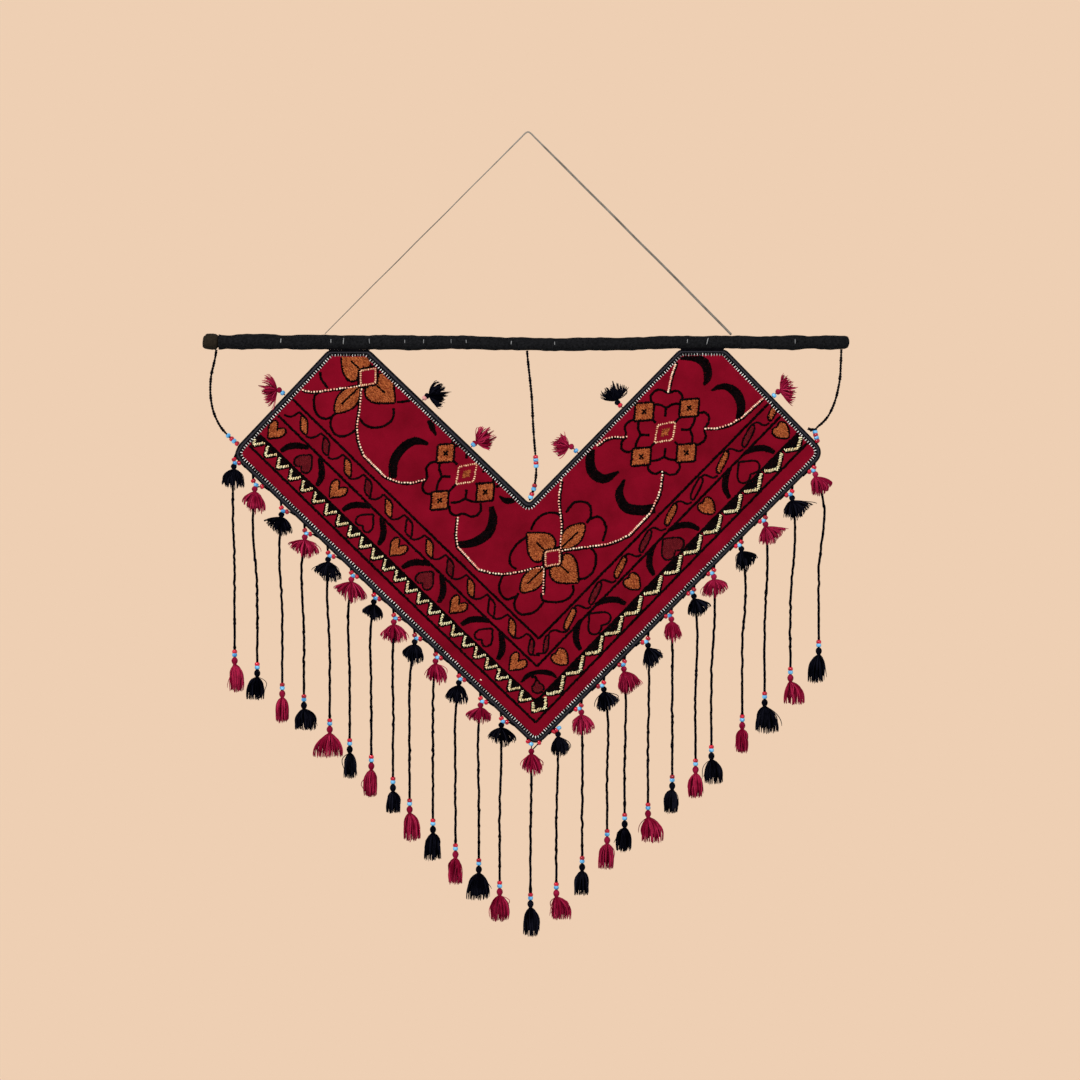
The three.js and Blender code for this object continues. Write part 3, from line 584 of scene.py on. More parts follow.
# The braid, the rim's stretch outwards and the whip stitches differ a little from side to side of the V
BRAID_SCALE = [0.94, 0.98, 0.98, 1.0, 1.12, 1.36, 1.0, 1.34]
RIM_OUT = [1.7, 1.1, 1.1, 0.0, -0.1, -0.4, 0.0, -0.4]
WHIP_MIDDLE = [5.0, 5.7, 5.8, 6.3, 6.9, 8.2, 6.3, 8.0]
RIB_PITCH = 1.5
RIB_HEIGHT = 0.1
WHIP_PITCH = 3.4
WHIP_HALF = 1.95
WHIP_JITTER = 0.12
WHIP_WIDTH = 1.2
WHIP_HEIGHT = 0.9
SHADE_BELOW_ROD = 0.35
SHADE_ENDS_Z = -272
POINTS_OF_STITCH = 10


def rounded_edge(pitch, distances=0.0):
    """The V's edge moved inwards, as evenly spaced points: straight sides joined by quadratic curves.

    A curve starts as far from its corner as on the outer edge, less the tangent of half the turn for every
    millimetre inwards.
    """
    corner = moved_in(distances)
    before = unit(corner - np.roll(corner, 1, axis=0))
    after = unit(np.roll(corner, -1, axis=0) - corner)
    turn = (before[:, 0] * after[:, 1] - before[:, 1] * after[:, 0]) / (1 + (before * after).sum(axis=1))
    reach = np.maximum(np.array(CORNERS)[:, 2] - np.mean(distances) * turn, 1.0)[:, None]
    t = np.linspace(0, 1, 15)[:, None]
    enter, leave = corner - before * reach, corner + after * reach
    bend = enter[:, None] * (1 - t) ** 2 + corner[:, None] * 2 * t * (1 - t) + leave[:, None] * t**2
    return evened(closed(bend.reshape(-1, 2)), pitch)[:-1]


def closed(outline):
    """An outline with its first point repeated at its end."""
    return np.concatenate([outline, outline[:1]])


def inward_from(edge):
    """Unit directions into the V at each point of its closed edge, which runs anticlockwise."""
    return left_of(unit(np.roll(edge, -1, axis=0) - np.roll(edge, 1, axis=0)))


def by_side(places, values):
    """A value for each place on the edge from one for each of the V's eight sides: their mean, each weighted
    by e to the power of minus its distance from the place over 2 mm."""
    off = places[:, None] - CORNER_PLACES
    share = (off * SIDE_WAYS).sum(axis=2) / (SIDE_WAYS**2).sum(axis=1)
    gap = np.linalg.norm(off - np.clip(share, 0, 1)[..., None] * SIDE_WAYS, axis=2)
    weight = np.exp(-gap / 2)
    return (weight * values).sum(axis=1) / weight.sum(axis=1)


edge = rounded_edge(RIB_PITCH)
profile = np.array(BRAID + [(offset, -depth) for offset, depth in BRAID[:0:-1]])
reach = by_side(edge, BRAID_SCALE)[:, None] * profile[:, 0]
reach = reach - by_side(edge, RIM_OUT)[:, None] * (1 - profile[:, 0] / profile[:, 0].max())
place = edge[:, None] + inward_from(edge)[:, None] * reach[..., None]
ribs = RIB_HEIGHT * np.sin(np.arange(len(edge)) * 1.9)[:, None] * np.sign(profile[:, 1])
depth = wave_at(place[..., 0], place[..., 1]) + profile[:, 1] + ribs
points = np.stack([place[..., 0], depth, place[..., 1]], axis=-1)
faces = [grid_faces(numbers_of(points), rows_meet=True, flipped=True)]
across = np.broadcast_to(profile[:, 0], points.shape[:2])
grey = np.interp(across, [0.9, 1.7, 2.2, 3.2, 3.7, 4.4], [0.2, 0.0, 1.25, 1.25, 0.05, 0.05])
braid_black = fibre_finish(
    "black_braid", (4, 4, 5), (44, 42, 48), relief=0.6, patch_scale=300.0, toned_by="grey"
)
binding = add_piece(
    "binding_braid", (points.reshape(-1, 3), faces), braid_black, "binding_braid", ["binding"],
    grey=grey.ravel(),
)


def onto_cloth(places, out):
    """Points on the cloth's front at (x, z), standing out towards the viewer."""
    x, z = places[..., 0], places[..., 1]
    return np.stack([x, wave_at(x, z) + pucker_at(x, z) - CLOTH_THICKNESS / 2 - out, z], axis=-1)


def stitches(starts, ends, width, height, taper=0.26, sunk=0.35):
    """Stitches as small rounded lumps, each from its start to its end on the cloth.

    A lump has a point at each end and two four-cornered rings between, the first the fuller: left, top, right
    and foot. Width is across, height is out of the cloth, and taper is the share of the length at each end
    that narrows to the point.
    """
    width = np.broadcast_to(width, len(starts))[:, None, None]
    height = np.broadcast_to(height, len(starts))[:, None]
    along = ends - starts
    level = np.array([0.0] + [taper] * 4 + [1 - taper] * 4 + [1.0])
    reach = np.array([0.0, 0.5, 0, -0.5, 0, 0.42, 0, -0.42, 0, 0])
    rise = np.array([0.0, 0.25, 1, 0.25, 0, 0.25, 0.9, 0.25, 0, 0])
    foot = np.array([0.6, 0, 0, 0, 1.0, 0, 0, 0, 1.0, 0.6])
    flat = starts[:, None] + along[:, None] * level[:, None]
    flat = flat + unit(left_of(along))[:, None] * reach[:, None] * width
    points = onto_cloth(flat, rise * height - foot * sunk)
    first = np.arange(len(starts))[:, None, None] * POINTS_OF_STITCH
    ring = np.array([1, 2, 3, 4])
    onward = np.array([2, 3, 4, 1])
    start_fan = np.stack([0 * ring, ring, onward], axis=1)
    end_fan = np.stack([0 * ring + 9, onward + 4, ring + 4], axis=1)
    wall = np.stack([ring, ring + 4, onward + 4, onward], axis=1)
    faces = [(first + fan).reshape(-1, fan.shape[1]) for fan in (start_fan, end_fan, wall)]
    return points.reshape(-1, 3), faces


whip_line = rounded_edge(WHIP_PITCH, WHIP_MIDDLE)
whip_inward = inward_from(whip_line)
count = len(whip_line)
rng = np.random.default_rng(11)
jitter = rng.normal(0, WHIP_JITTER, (count, 2)) + whip_inward * rng.normal(0, WHIP_JITTER, (count, 1))
half = WHIP_HALF + rng.normal(0, 0.15, (count, 1))
whip_shape = stitches(
    whip_line - whip_inward * half + jitter, whip_line + whip_inward * half + jitter,
    WHIP_WIDTH, WHIP_HEIGHT, taper=0.2,
)
brightness = np.repeat(rng.uniform(0.5, 1.1, count), POINTS_OF_STITCH)
brightness = np.where(whip_shape[0][:, 2] > SHADE_ENDS_Z, brightness - SHADE_BELOW_ROD, brightness)
white_thread = fibre_finish("white_thread", (60, 56, 56), (246, 242, 236), toned_by="brightness")
whip = add_piece("whip_stitches", whip_shape, white_thread, "white_thread", brightness=brightness)


# Top seams: black thread whipped round the braid and into the sleeve along both flat tops, front and back.
SEAMS = ((-240.5, -189.5, LEFT_TOP_Z), (181.5, 236.0, RIGHT_TOP_Z))
SEAM_PITCH = 1.7
SEAM_THREAD_RADIUS = 0.8
share = np.linspace(0, 1, 6)
seam_lines = []
for left_end, right_end, top in SEAMS:
    spots = np.arange(left_end + 3, right_end - 2, SEAM_PITCH)[:, None]
    for front in (-1, 1):
        depth = front * np.interp(share, [0, 0.4, 1], [2.0, 2.4, 2.9]) + 0 * spots
        height = top - 1.6 + 3.6 * share + 0 * spots
        seam_lines.append(np.stack([spots + 1.4 * share * front, depth, height], axis=-1))
add_piece("top_seams", tubes(np.concatenate(seam_lines), SEAM_THREAD_RADIUS, 5), black_yarn, "black_yarn")


# Embroidery: chain stitch in black, cream and orange wool. Borders run along both arms from the tip, a
# zigzag, a band of hearts and a band of vine leaves, and flowers, rosettes, stems and thick curls fill the
# field above.
LINE_WIDTH = 3.4
FINE_WIDTH = 2.9
LINE_STITCH = 2.5
FINE_STITCH = 2.0
VEIN_STITCH = 2.2
ROW_PITCH = 1.3
FILL_STITCH = 2.6
FILL_WIDTH = ROW_PITCH * 1.6
FIELD_MARGIN = [7.0, 7.4, 7.4, 8.0, 8.6, 10.2, 8.0, 10.0]
ROW_SLANT = {"left": 45.0, "right": -45.0}
black_lines, black_fills, black_curls, black_veins, black_ties = [], [], [], [], []
fine_lines, stem_shades, pale_flecks, peach_lines, orange_fills, brown_fills = [], [], [], [], [], []
cream_lines, cream_bars, cream_dots, bar_widths = [], [], [], []


def arm_frame(side):
    """The directions along an arm from the tip and inwards from its lower edge."""
    along = ARM_ENDS[side] - TIP
    along = along / np.linalg.norm(along)
    return along, left_of(along) * (-1 if side == "left" else 1)


def on_arm(side, places):
    """Places given as (distance from the tip, distance in from the lower edge), as (x, z)."""
    along, inward = arm_frame(side)
    places = np.asarray(places, float)
    return TIP + places[..., :1] * along + places[..., 1:] * inward


def inside(places, outline):
    """Whether each place lies inside a closed outline: a ray to its right crosses an odd number of sides."""
    start, end = outline, np.roll(outline, -1, axis=0)
    px, pz = places[..., :1], places[..., 1:]
    spans = (start[:, 1] > pz) != (end[:, 1] > pz)
    rise = np.where(np.abs(end[:, 1] - start[:, 1]) < 1e-9, 1e-9, end[:, 1] - start[:, 1])
    crossing = start[:, 0] + (pz - start[:, 1]) * (end[:, 0] - start[:, 0]) / rise
    return (np.count_nonzero(spans & (px < crossing), axis=-1) % 2) == 1


def line_round(lines, outline, pitch=FINE_STITCH):
    """Adds a line round an outline to some lines, with a point every pitch millimetres."""
    lines.append(evened(closed(outline), pitch))


def rows_of_stitches(outline, slant, seed):
    """Brickwork rows of stitches that fill an outline. Rows run at a slant in degrees, and every second one
    is moved by half a stitch, which leaves the edges saw-toothed as worked ones are."""
    turn = np.radians(slant)
    way = np.array([np.cos(turn), np.sin(turn)])
    middle = outline.mean(axis=0)
    reach = np.abs(outline - middle).max() * 1.5
    row = np.arange(-reach, reach, ROW_PITCH)
    step = np.arange(-reach, reach, FILL_STITCH)
    shift = np.arange(len(row)) % 2 * 0.5 + np.random.default_rng(seed).uniform(0, 0.3, len(row))
    step = step + (shift * FILL_STITCH)[:, None]
    centre = middle + row[:, None, None] * left_of(way) + step[..., None] * way
    centre = centre[inside(centre, outline)]
    return centre - way * FILL_STITCH * 0.56, centre + way * FILL_STITCH * 0.56


def crescent(path, widths):
    """The outline of a curl: a smooth path given a half width that changes smoothly along it."""
    line = smooth_line(path, 1.5)
    half = np.interp(np.linspace(0, 1, len(line)), np.linspace(0, 1, len(widths)), widths)
    side = left_of(unit(np.gradient(line, axis=0))) * half[:, None]
    return np.concatenate([line + side, (line - side)[::-1]])


def heart(wide, high, cleft=1.0, round_by=0.0):
    """A heart about its middle with its tip below: x = 16 sin^3 t, and z = 13 cos t less the cleft times
    (5 cos 2t + 2 cos 3t + cos 4t). Rounding mixes sin t into x. It is scaled to its width and height."""
    t = np.linspace(0, 2 * np.pi, 37)[:-1]
    x = (1 - round_by) * np.sin(t) ** 3 + round_by * np.sin(t)
    z = 13 * np.cos(t) - cleft * (5 * np.cos(2 * t) + 2 * np.cos(3 * t) + np.cos(4 * t))
    shape = np.stack([x, z], axis=1)
    low, high_side = shape.min(axis=0), shape.max(axis=0)
    return (shape - (low + high_side) / 2) / (high_side - low) * (wide, high)


def leaf(half, lean, rise, power):
    """A slanting leaf: its middle line is t (lean, rise) for t from -1 to 1, and on each side of it the leaf
    is half (1 - |t|^power) wide."""
    t = np.sin(np.linspace(-np.pi / 2, np.pi / 2, 17))
    wide = half * (1 - np.abs(t) ** power)
    right, left = [np.stack([lean * t + side * wide, rise * t], axis=1) for side in (1, -1)]
    return np.concatenate([right, left[-2:0:-1]])


# Three plain lines along both arms, and the edge of the zigzag's black band, second: how far in each runs at
# the tip and 150, 300 and 530 mm from it, on the left arm and on the right
LINES = [
    ((19.6, 19.6, 19.8, 21.4), (20.4, 21.7, 22.6, 22.9)),
    ((38.0, 38.2, 38.9, 39.3), (37.6, 38.4, 39.5, 39.6)),
    ((69.2, 68.9, 69.4, 71.5), (66.3, 67.0, 67.9, 68.5)),
    ((94.8, 94.7, 95.4, 97.7), (88.1, 88.3, 89.3, 89.6)),
]
for line in LINES:
    meet = np.linalg.solve(np.stack([arm_frame("left")[1], arm_frame("right")[1]]), [line[0][0], line[1][0]])
    for side, reach in zip(ARM_ENDS, line):
        places = on_arm(side, np.stack([(150, 300, 530), reach[1:]], axis=1))
        black_lines.append(evened(np.concatenate([(TIP + meet)[None], places]), LINE_STITCH))

# Zigzag: pairs of slanting bars in cream satin stitch that meet at a foot, on a black ground that reaches up
# to its line. One black stitch ties each foot to the outer line
ZIGZAG = {
    "left": {
        "at": np.interp(np.arange(24), [0, 4, 9, 13, 17, 23], [51.5, 127.0, 221.5, 297.7, 375.3, 494.7]),
        "in": (25.4, 25.4), "tops": np.array([(-7.5, 10.7), (6.4, 10.4)]), "wide": 3.6, "tie": -5.2,
    },
    "right": {
        "at": np.interp(np.arange(13), [0, 4, 8, 12], [66.7, 200.0, 336.3, 475.0]),
        "in": (25.0, 26.4), "tops": np.array([(-12.9, 9.4), (15.8, 10.2)]), "wide": 4.4, "tie": -4.0,
    },
}
for side, zigzag in ZIGZAG.items():
    for along in zigzag["at"]:
        foot = np.array([along, np.interp(along, [60, 300], zigzag["in"])])
        band = np.interp(along, [150, 300], [38.3, 39.2]) - foot[1]
        tops = zigzag["tops"]
        ways = unit(tops)
        out = left_of(ways) * [(1,), (-1,)] * (zigzag["wide"] / 2 + 0.8)
        left_side, right_side = tops + out
        ground = np.array([
            (left_side[0], band), left_side, out[0], out[1], right_side, (right_side[0], band),
        ])
        black_fills.append((on_arm(side, ground + foot), ROW_SLANT[side]))
        cream_bars.extend(on_arm(side, np.array([top, way * 0.9]) + foot) for top, way in zip(tops, ways))
        bar_widths += [zigzag["wide"]] * 2
        black_ties.append(on_arm(side, np.array([(0, -1.8), (0, zigzag["tie"])]) + foot))
tip_rows = np.array([(6.1, -684.7), (6.1, -694.5), (20.8, -691.4), (20.7, -678.7)])
cream_bars.extend([tip_rows[:2], tip_rows[1:3] + [(1.6, 0), (-1.6, 0)], tip_rows[2:]])
bar_widths += [4.2] * 3
tip_ground = [(4.0, -684.7), (3.6, -697.4), (22.9, -694.2), (22.9, -680.0), (12.7, -678.5)]
black_fills.append((np.array(tip_ground), 0.0))

# Hearts: orange ones with the tip outwards between dark outlined ones with the tip inwards, a few of them
# filled with brown, and each under two black curls
DARK_IN = 53.8
CURL_HALVES = [1.6, 3.1, 3.4, 3.2, 1.9]
HEARTS = {
    "left": {
        "orange": [(86.0, 54.0), (185.0, 54.0), (284.7, 54.0), (384.9, 54.0), (487.4, 54.0)],
        "orange_heart": heart(19.9, 20.4, 1.35, 0.3), "dark_heart": heart(23.2, 22.6, 0.85, 0.25),
        "dark": [135.4, 233.8, 333.4, 436.0], "brown": (1, 3),
        "curl": [(9, 14.5), (15.5, 10.9), (21.5, 6.2), (27, -0.8), (30, -11)],
    },
    "right": {
        "orange": [(95.8, 52.5), (221.0, 54.2), (348.3, 54.2), (475.5, 54.2)],
        "orange_heart": heart(18.2, 18.8, 0.6, 0.6), "dark_heart": heart(32.4, 24.2, 0.8, 0.25),
        "dark": [157.9, 283.5, 412.8], "brown": (1,),
        "curl": [(12.5, 14.0), (20.5, 11.7), (28.5, 6.7), (34.6, 0.2), (38.5, -10.5)],
    },
}
for side, row in HEARTS.items():
    for place in row["orange"]:
        orange_fills.append((on_arm(side, row["orange_heart"] + place), ROW_SLANT[side]))
        line_round(black_lines, on_arm(side, row["orange_heart"] * 1.08 + place))
    for number, along in enumerate(row["dark"]):
        place = (along, DARK_IN)
        shape = row["dark_heart"] * (1, -1)
        line_round(fine_lines, on_arm(side, shape + place))
        if number in row["brown"]:
            brown_fills.append((on_arm(side, shape * 0.88 + place), 90.0))
        for way in (1, -1):
            path = np.array(row["curl"]) * (way, 1) + place
            black_curls.append((crescent(on_arm(side, path), CURL_HALVES), 0.0))

# The small dark heart at the tip, on its stalk under a curl
BUD = [
    (-1.5, 9.4), (2.4, 4.6), (6.6, 1.6), (7.5, -2.4), (4.4, -6.4), (-1, -7.4), (-6.4, -5.2), (-7.1, 0),
    (-3.8, 4.0),
]
BUD_PLACE = (11.8, -666.0)
TIP_CURL = [(-7.9, -660.3), (-1, -652.7), (7.5, -648.9), (19.5, -648.2), (28, -650.2), (34, -654.6)]
line_round(fine_lines, np.array(BUD) + BUD_PLACE)
black_lines.append(smooth_line([(4.5, -655.0), (7.0, -652.5), (10.3, -656.6)], LINE_STITCH))
brown_fills.append((np.array(BUD) * 0.8 + BUD_PLACE - (0, 0.6), 0.0))
black_curls.append((crescent(TIP_CURL, [0.6, 2.4, 2.0, 2.4, 2.8, 0.8]), 0.0))

# Vine: slanting leaves, every second one orange and the others only outlined. A short line runs on from the
# head of each, and a tendril falls from it to the foot of the next
VINES = {
    "left": {
        "at": np.interp(np.arange(1, 12), [1, 5, 9, 11], [119.2, 256.5, 394.3, 467.5]),
        "in": ([119, 260, 394, 500], [82.2, 82.2, 83.9, 84.4]),
        "orange": leaf(4.4, 5.6, 6.4, 14), "outlined": leaf(5.0, 5.6, 7.2, 20), "brown": (3, 7, 9),
        "tendrils": [
            [(4.0, 7.7), (15.8, 7.5)], [(15.4, 6.8), (16.2, 2.0), (18.2, -2.6), (21.6, -6.0), (26.0, -7.6)],
        ],
        "first": (86.4, 81.4), "first_leaf": leaf(3.6, 5.2, 7.8, 8),
        "first_tendril": [(5.0, 7.9), (15.0, 7.7), (16.0, 2.0), (19.0, -4.0), (25.0, -7.0)],
    },
    "right": {
        "at": np.interp(np.arange(1, 10), [1, 4, 9], [136.7, 266.7, 487.5]),
        "in": ([137, 200, 312, 490], [78.0, 78.2, 79.6, 79.6]),
        "orange": leaf(8.2, 11.0, 5.8, 1.9), "outlined": leaf(9.8, 12.6, 6.9, 2.0), "brown": (1, 3, 7),
        "tendrils": [[(12.5, 5.6), (17.5, 5.2), (20, 2), (21.5, -2.5), (24, -6), (28.5, -7)]],
        "first": (95.3, 77.2), "first_leaf": leaf(4.0, 8.2, 6.8, 8),
        "first_tendril": [(9.0, 6.4), (16.8, 5.9), (20.6, 2.8), (22.5, -2.0), (26.5, -6.0), (33.0, -6.8)],
    },
}
for side, vine in VINES.items():
    for number, along in enumerate(vine["at"]):
        place = (along, np.interp(along, *vine["in"]))
        if number % 2 == 0:
            orange_fills.append((on_arm(side, vine["orange"] + place), ROW_SLANT[side]))
            line_round(black_lines, on_arm(side, vine["orange"] * 1.15 + place))
        else:
            line_round(fine_lines, on_arm(side, vine["outlined"] + place))
            if number in vine["brown"]:
                brown_fills.append((on_arm(side, vine["outlined"] * 0.72 + place), 90.0))
        for tendril in vine["tendrils"]:
            fine_lines.append(smooth_line(on_arm(side, np.array(tendril) + place), LINE_STITCH))
    first = np.array(vine["first"])
    shape = vine["first_leaf"]
    brown_fills.append((on_arm(side, shape * 0.6 + first), 90.0))
    line_round(fine_lines, on_arm(side, shape + first))
    stalk = np.array([shape[0] + first, shape[0] + first + (-9.0, 7.5)])
    fine_lines.append(evened(on_arm(side, stalk), LINE_STITCH))
    fine_lines.append(smooth_line(on_arm(side, vine["first_tendril"] + first), LINE_STITCH))


def sheared(points, lean=0.2, rise=0.17):
    """Motifs drawn askew, as on the cloth: x gains a little of z, and z a little of x."""
    points = np.asarray(points, float)
    return np.stack([points[..., 0] + lean * points[..., 1], points[..., 1] + rise * points[..., 0]], axis=-1)


# Four-leaved flowers: a peach square with a crimson middle, two broad and two narrow orange leaves with black
# veins, inside scallops. Each half of the leaves is the other one turned by half a turn, and the lower
# scallops differ
SQUARE = np.array([(-9.2, 7.6), (9.2, 10.9), (9.2, -7.6), (-9.2, -10.9)])
BROAD = [
    (-30.2, 29), (-14.5, 29.4), (-4.6, 27.8), (2, 21), (1.2, 12.6), (-9.8, 9.4), (-12.4, 2.6), (-13.6, -2.6),
    (-18.4, -4.2), (-27, 3.4), (-29.4, 15),
]
NARROW = [
    (9.8, 12.2), (11.8, 27), (16, 33.4), (25.6, 38.8), (37.6, 39.8), (37.6, 31.6), (33.2, 21), (25, 14.2),
    (14.6, 11.2),
]
VEINS = ([(-10.5, 10), (-19.5, 18.5)], [(10.8, 12.4), (30.5, 31.3)])
SCALLOPS = [
    [(-26, 33.5), (-20, 45), (-8, 53.5), (8, 52), (13, 43)],
    [(16, 54.5), (26, 66.5), (43, 65), (46, 51), (41, 42)],
    [(43, 46), (56, 49.5), (64, 38), (60, 20)],
]
# Each flower: its middle, its size, and its lower scallops
FLOWERS = [
    ((-191.9, -294.1), 1.04, [
        [(-57, 6), (-57, 0), (-54, -6), (-48, -13)],
        [(-59.4, -18), (-64, -23), (-65, -32), (-63.7, -40.4), (-59.4, -47), (-52.6, -49.8), (-45.7, -49),
         (-38.9, -43)],
        [(-44, -48), (-45.2, -56), (-43, -64.3), (-37, -70.3), (-29.4, -71), (-21, -67.8), (-12.3, -61)],
        [(-9.7, -49.8), (-4, -57.5), (6, -60.6), (18, -59), (27.5, -53), (31, -44), (30.6, -37.5)],
        [(34.8, -30.1), (42.6, -29.7), (50.3, -28)],
    ]),
    ((29.5, -511.1), 1.0, [
        [(-43.4, -13.6), (-50.5, -8), (-51.5, 0), (-45, 14), (-32, 25)],
        [(-43, -46), (-56, -49.5), (-64, -38), (-60, -20)],
        [(-40.8, -42), (-46, -54), (-44.2, -62.5), (-38.3, -67.6), (-28.8, -67.3), (-18.5, -62.5),
         (-10.8, -53)],
        [(-13.4, -42), (-12.5, -50.5), (-3, -52.6), (10.6, -52.2), (20, -48), (25.2, -38.5), (24.3, -32.5)],
        [(29.5, -25.6), (38, -24.8), (47.5, -18), (51.7, -6), (51, 6), (45.7, 12)],
    ]),
]
for centre, size, lower in FLOWERS:
    line_round(peach_lines, SQUARE * size * 0.93 + centre, VEIN_STITCH)
    line_round(black_lines, SQUARE * size * 1.22 + centre, LINE_STITCH)
    for half in (1, -1):
        for blade, slant in ((BROAD, -45.0), (NARROW, 45.0)):
            shape = smooth_line(closed(np.array(blade)), 2.0)[:-1] * half * size
            orange_fills.append((shape + centre, slant))
            grown = shape + (shape - shape.mean(axis=0)) * 0.05
            line_round(black_lines, grown + centre, LINE_STITCH)
        for vein in VEINS:
            black_veins.append(evened(np.array(vein) * half * size + centre, VEIN_STITCH))
    for arc in [np.array(arc) * size for arc in SCALLOPS] + lower:
        black_lines.append(smooth_line(np.array(arc) + centre, LINE_STITCH))

# Rosettes: a peach square round an orange dot, four orange squares with black crosses near its corners, and
# between them four petals with two lobes and a forked vein. Petals are drawn once and turned by quarter turns
ROSETTES = [
    ((164.6, -360.4), (19.8, 18.6), [(28.8, 29.2), (-25.2, 24.8), (-28.8, -29.2), (25.2, -24.8)]),
    ((-73.8, -410.4), (17.8, 19.0), [(28.8, 29.2), (-24.9, 24.9), (-32.1, -31.7), (22.5, -21.8)]),
]
BLOCK = np.array([(-0.5, -0.5), (0.5, -0.5), (0.5, 0.5), (-0.5, 0.5)])
CROSS = np.array([(2.4, 2.9), (2.7, -2.3)])
PETAL = [
    (37, 19), (44.7, 20.3), (51, 15.6), (52, 9.5), (47.2, -0.8), (49.1, -10.5), (42.3, -17.7), (36.4, -17.8),
]
FORKS = [[(19, 1.5), (29.5, 0.8)], [(29.5, 0.8), (33.4, 8), (35, 17)], [(29.5, 0.8), (33, -7.5), (33, -17)]]
for centre, sides, places in ROSETTES:
    line_round(peach_lines, sheared(BLOCK * 21.3, 0.18, 0.18) + centre, 2.6)
    orange_fills.append((sheared(BLOCK * 8.2) + centre, 45.0))
    petal_lines = [np.array(points) for points in [PETAL] + FORKS]
    for turns, place in enumerate(np.array(places)):
        block = sheared(BLOCK * sides, 0.08, 0.07) + place + centre
        orange_fills.append((block, 20.0 + 90 * turns))
        line_round(black_lines, block + (block - place - centre) * 0.13, LINE_STITCH)
        for arm in CROSS:
            black_veins.append(evened(np.array([place - arm, place + arm]) + centre, VEIN_STITCH))
        link = place / np.linalg.norm(place)
        black_lines.append(evened(np.array([link * 16, place - link * 13]) + centre, LINE_STITCH))
        for points in petal_lines:
            black_lines.append(smooth_line(sheared(points, 0.065, 0.083) + centre, LINE_STITCH))
        petal_lines = [left_of(points) for points in petal_lines]

# Stems in a pale, uneven dotted chain on a black line that shows on their outer side, and thick black curls
STEMS = [
    [(-270, -310), (-260, -312), (-241, -310), (-202, -305)],
    [(-200, -309), (-202, -334), (-205, -356), (-202, -375), (-197, -388)],
    [(-171, -414), (-155, -420), (-138, -421), (-124, -417)],
    [(-84, -463), (-86, -484), (-84, -498)],
    [(-59, -525), (-38, -530), (17, -522)],
    [(39, -499), (40, -468), (37, -443), (40, -418)],
    [(41, -502), (69, -498), (97, -494), (121, -484)],
    [(146, -458), (158, -432), (161, -408)],
    [(19, -524), (18, -554)],
    [(213, -356), (228, -355), (244, -350), (256, -343)],
    [(118, -366), (95, -368), (83, -376)],
]
SOLID_STEMS = [
    [(-197, -388), (-171, -414)], [(-84, -498), (-59, -525)], [(121, -484), (146, -458)],
    [(256, -343), (284, -318)], [(168, -313), (172, -294), (178, -276)],
]
STEM_DOT = 3.5
for stem in STEMS:
    cream_dots.append(smooth_line(stem, STEM_DOT))
for stem in SOLID_STEMS:
    cream_lines.append(smooth_line(stem, 2.2))
for stem in STEMS + SOLID_STEMS:
    shade = (-1.0, -0.6) if stem[0][0] < TIP[0] else (0.9, -0.9)
    stem_shades.append(smooth_line(np.array(stem, float) + shade, LINE_STITCH))
pale_flecks.append(np.array([(-57.6, -657.0), (-55.4, -658.0)]))
# Each curl: its middle line and its half widths along it
CURLS = [
    ([(-120, -374), (-136, -371), (-152, -381), (-161, -396), (-162, -415)], [1.6, 4.2, 4.8, 5.0, 4.8, 4.4]),
    ([(-43.8, -450), (-42, -464.4), (-46.8, -480), (-61.2, -490.8), (-72, -494.4), (-84, -495)],
     [2.4, 4.8, 5.2, 5.2, 4.4, 3.4]),
    ([(76, -381), (74.4, -396), (78, -409), (89, -416), (109, -408)], [3.8, 5.0, 5.8, 5.6, 4.2, 0.8]),
    ([(115.5, -417), (109.6, -435), (117, -450), (134, -454), (152, -452)], [0.8, 4.6, 5.6, 5.8, 5.4]),
    ([(220.1, -310.4), (228.7, -306.1), (238.9, -306.1), (247.6, -311.3), (253.6, -319.9), (255.7, -330.1),
      (254, -340.4), (252.7, -345.2)], [0.6, 2.6, 3.6, 5.0, 5.2, 4.8, 4.2, 3.4]),
    ([(183.2, -272.2), (192.7, -271), (202.9, -272.2), (211.5, -277), (215.3, -285.6), (215.3, -295),
      (211.5, -304.1)], [1.0, 2.8, 4.0, 5.5, 4.8, 4.2, 0.8]),
    ([(-117.5, -346), (-114.2, -356.7), (-110.2, -364)], [3.2, 3.0, 0.6]),
    ([(-34.4, -436.9), (-27.6, -442.2), (-14.8, -441.6)], [0.5, 3.2, 2.6]),
]
for path, halves in CURLS:
    black_curls.append((crescent(path, halves), 0.0))


def running(lines, share=1.2):
    """One stitch from each point of a line to the next, longer than the gap where share is over 1."""
    starts = np.concatenate([line[:-1] for line in lines])
    ends = np.concatenate([line[1:] for line in lines])
    middle, half = (starts + ends) / 2, (ends - starts) / 2 * share
    return middle - half, middle + half


def satin(lines, widths, pitch, seed):
    """Stitches side by side across each line, their ends uneven by about a fifth of half the width."""
    rng = np.random.default_rng(seed)
    spots = [evened(line, pitch) for line in lines]
    width = np.concatenate([np.full((len(spot), 1), wide) for spot, wide in zip(spots, widths)])
    along = unit(np.concatenate([np.gradient(line, axis=0) for line in spots]))
    side = left_of(along) + along * rng.normal(0, 0.12, (len(along), 1))
    reach = width / 2 * (1 + rng.normal(0, 0.18, (2, len(side), 1)))
    spots = np.concatenate(spots)
    return spots - side * reach[0], spots + side * reach[1]


def outward_at(outline):
    """Unit directions out of a closed outline at its points, whichever way round it runs."""
    onward = np.roll(outline, -1, axis=0)
    turns = np.sign(np.sum(outline[:, 0] * onward[:, 1] - onward[:, 0] * outline[:, 1]))
    return -left_of(unit(onward - np.roll(outline, 1, axis=0))) * turns


